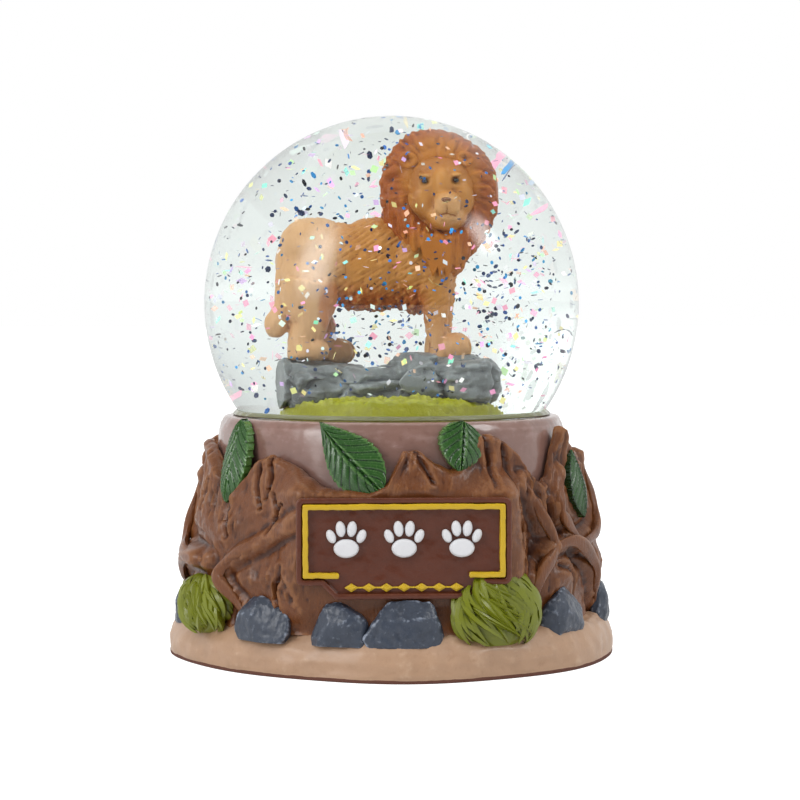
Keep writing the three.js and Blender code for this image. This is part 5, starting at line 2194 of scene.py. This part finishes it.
# ------------------------------------------------------------------ the studio
@dataclass(frozen=True)
class Lamp:
    """A soft upright lamp that faces the object and fades towards its edges."""

    name: str
    place: Colour
    width: float
    height: float
    power: float
    softness: float = 0.42

    def build(self) -> None:
        """Adds the lamp."""
        light = bpy.data.lights.new(self.name, "AREA")
        light.shape, light.size, light.size_y, light.energy = "RECTANGLE", self.width, self.height, self.power
        light.use_nodes = True
        graph = Graph(light.node_tree)
        across = graph.add("ShaderNodeNewGeometry", {}, {}, "Parametric")
        fade = 1.0
        for axis in ("X", "Y"):
            part = graph.axis(across, axis)
            fade = part.step(0.0, self.softness) * part.step(1.0, 1 - self.softness) * fade
        surface = graph.add("ShaderNodeEmission", {}, {"Strength": fade * 1.6})
        graph.add("ShaderNodeOutputLight", {}, {"Surface": surface})
        lamp = bpy.data.objects.new(self.name, light)
        bpy.context.scene.collection.objects.link(lamp)
        lamp.location = self.place
        lamp.rotation_euler = (Vector((0, 0, 0.06)) - Vector(self.place)).to_track_quat("-Z", "Y").to_euler()


@dataclass(frozen=True)
class Studio:
    """A white floor, soft lamps, a bright surround and the camera."""

    distance: float = 0.5
    height: float = 0.075
    azimuth: float = -3.3
    target: Colour = (0.0018, -0.0001, 0.0536)
    lens: float = 105.0
    lamps: tuple[Lamp, ...] = (
        Lamp("lamp_left", (-0.87, -0.68, 0.56), 0.66, 1.2, 10.5),
        Lamp("lamp_right", (0.82, -0.4, 0.72), 0.42, 0.56, 4.0),
    )

    def floor(self) -> None:
        """Adds the floor."""
        plane = primitive("plane", "floor", size=12.0)
        material, graph = new_graph("floor_white")
        seen = graph.ray("Camera")
        spot = graph.add("ShaderNodeTexCoord", {}, {}, "Object")
        reach = graph.add("ShaderNodeVectorMath", {"operation": "LENGTH"}, {0: spot}, "Value")
        glow = graph.mix(reach.step(0.15, 1.6), (0.3, 0.3, 0.3), (0.48, 0.48, 0.48))
        glow = graph.mix(seen, glow, (0.85, 0.85, 0.85))
        inputs = {"Base Color": (0.45, 0.45, 0.45, 1.0), "Roughness": 0.9, "Specular IOR Level": 0.0,
                  "Emission Color": glow, "Emission Strength": 1.0}
        graph.surface("ShaderNodeBsdfPrincipled", inputs)
        plane.data.materials.append(material)

    def surround(self) -> None:
        """Lights the room: white ahead and above, greyer at the sides."""
        world = bpy.data.worlds.new("studio")
        bpy.context.scene.world = world
        world.use_nodes = True
        graph = Graph(world.node_tree)
        way = graph.add("ShaderNodeTexCoord", {}, {}, "Generated")
        across = graph.axis(way, "X")
        ahead = graph.axis(way, "Y")
        sides = graph.add("ShaderNodeMath", {"operation": "ABSOLUTE"}, {0: across}).step(0.3, 0.85)
        above = graph.axis(way, "Z")
        glow = graph.mix(ahead.step(0.6, -0.1), (0.84, 0.84, 0.84), (0.2, 0.204, 0.208))
        glow = graph.mix(sides, glow, (0.7, 0.71, 0.71))
        glossy = graph.ray("Glossy")
        mirrored = glossy * graph.ray("Reflection")
        zenith = graph.mix(mirrored, (1.8, 1.8, 1.8), (0.3, 0.3, 0.3))
        glow = graph.mix(above.step(0.4, 0.0) * sides.larger(ahead.step(-0.1, 0.3)), glow, (0.95, 0.96, 0.96))
        glow = graph.mix(above.step(0.45, 0.95), glow, zenith)
        seen = graph.ray("Camera")
        colour = graph.mix(seen, glow, (1.0, 1.0, 1.0))
        surface = graph.add("ShaderNodeBackground", {}, {"Color": colour, "Strength": 1.0})
        graph.add("ShaderNodeOutputWorld", {}, {"Surface": surface})

    def camera(self) -> None:
        """Adds the camera."""
        turn = math.radians(self.azimuth)
        place = Vector((self.distance * math.sin(turn), -self.distance * math.cos(turn), self.height))
        view = bpy.data.cameras.new("camera")
        view.lens, view.sensor_width, view.clip_start = self.lens, 36.0, 0.01
        camera = bpy.data.objects.new("camera", view)
        bpy.context.scene.collection.objects.link(camera)
        camera.location = place
        camera.rotation_euler = (Vector(self.target) - place).to_track_quat("-Z", "Y").to_euler()
        bpy.context.scene.camera = camera

    def build(self) -> None:
        """Builds the studio."""
        bpy.context.scene.view_settings.view_transform = "Standard"
        self.floor()
        self.surround()
        for lamp in self.lamps:
            lamp.build()
        self.camera()


def main() -> None:
    """Builds the snow globe and its studio."""
    logging.basicConfig(level=logging.INFO, format="%(message)s")
    Studio().build()
    form = StumpForm()
    Stump(form).build()
    for leaf in LEAVES:
        leaf.build(form)
    ground = Ground()
    ground.build()
    sand_top = high("sand_plinth").z
    for stone in STONES:
        stone.build(sand_top)
    for tuft in TUFTS:
        tuft.build(sand_top)
    Sign().build()
    solids = [*Outcrop().build(), *Lion().build()]
    Glitter().build(solids)
    Globe().build()


if __name__ == "__main__":
    main()
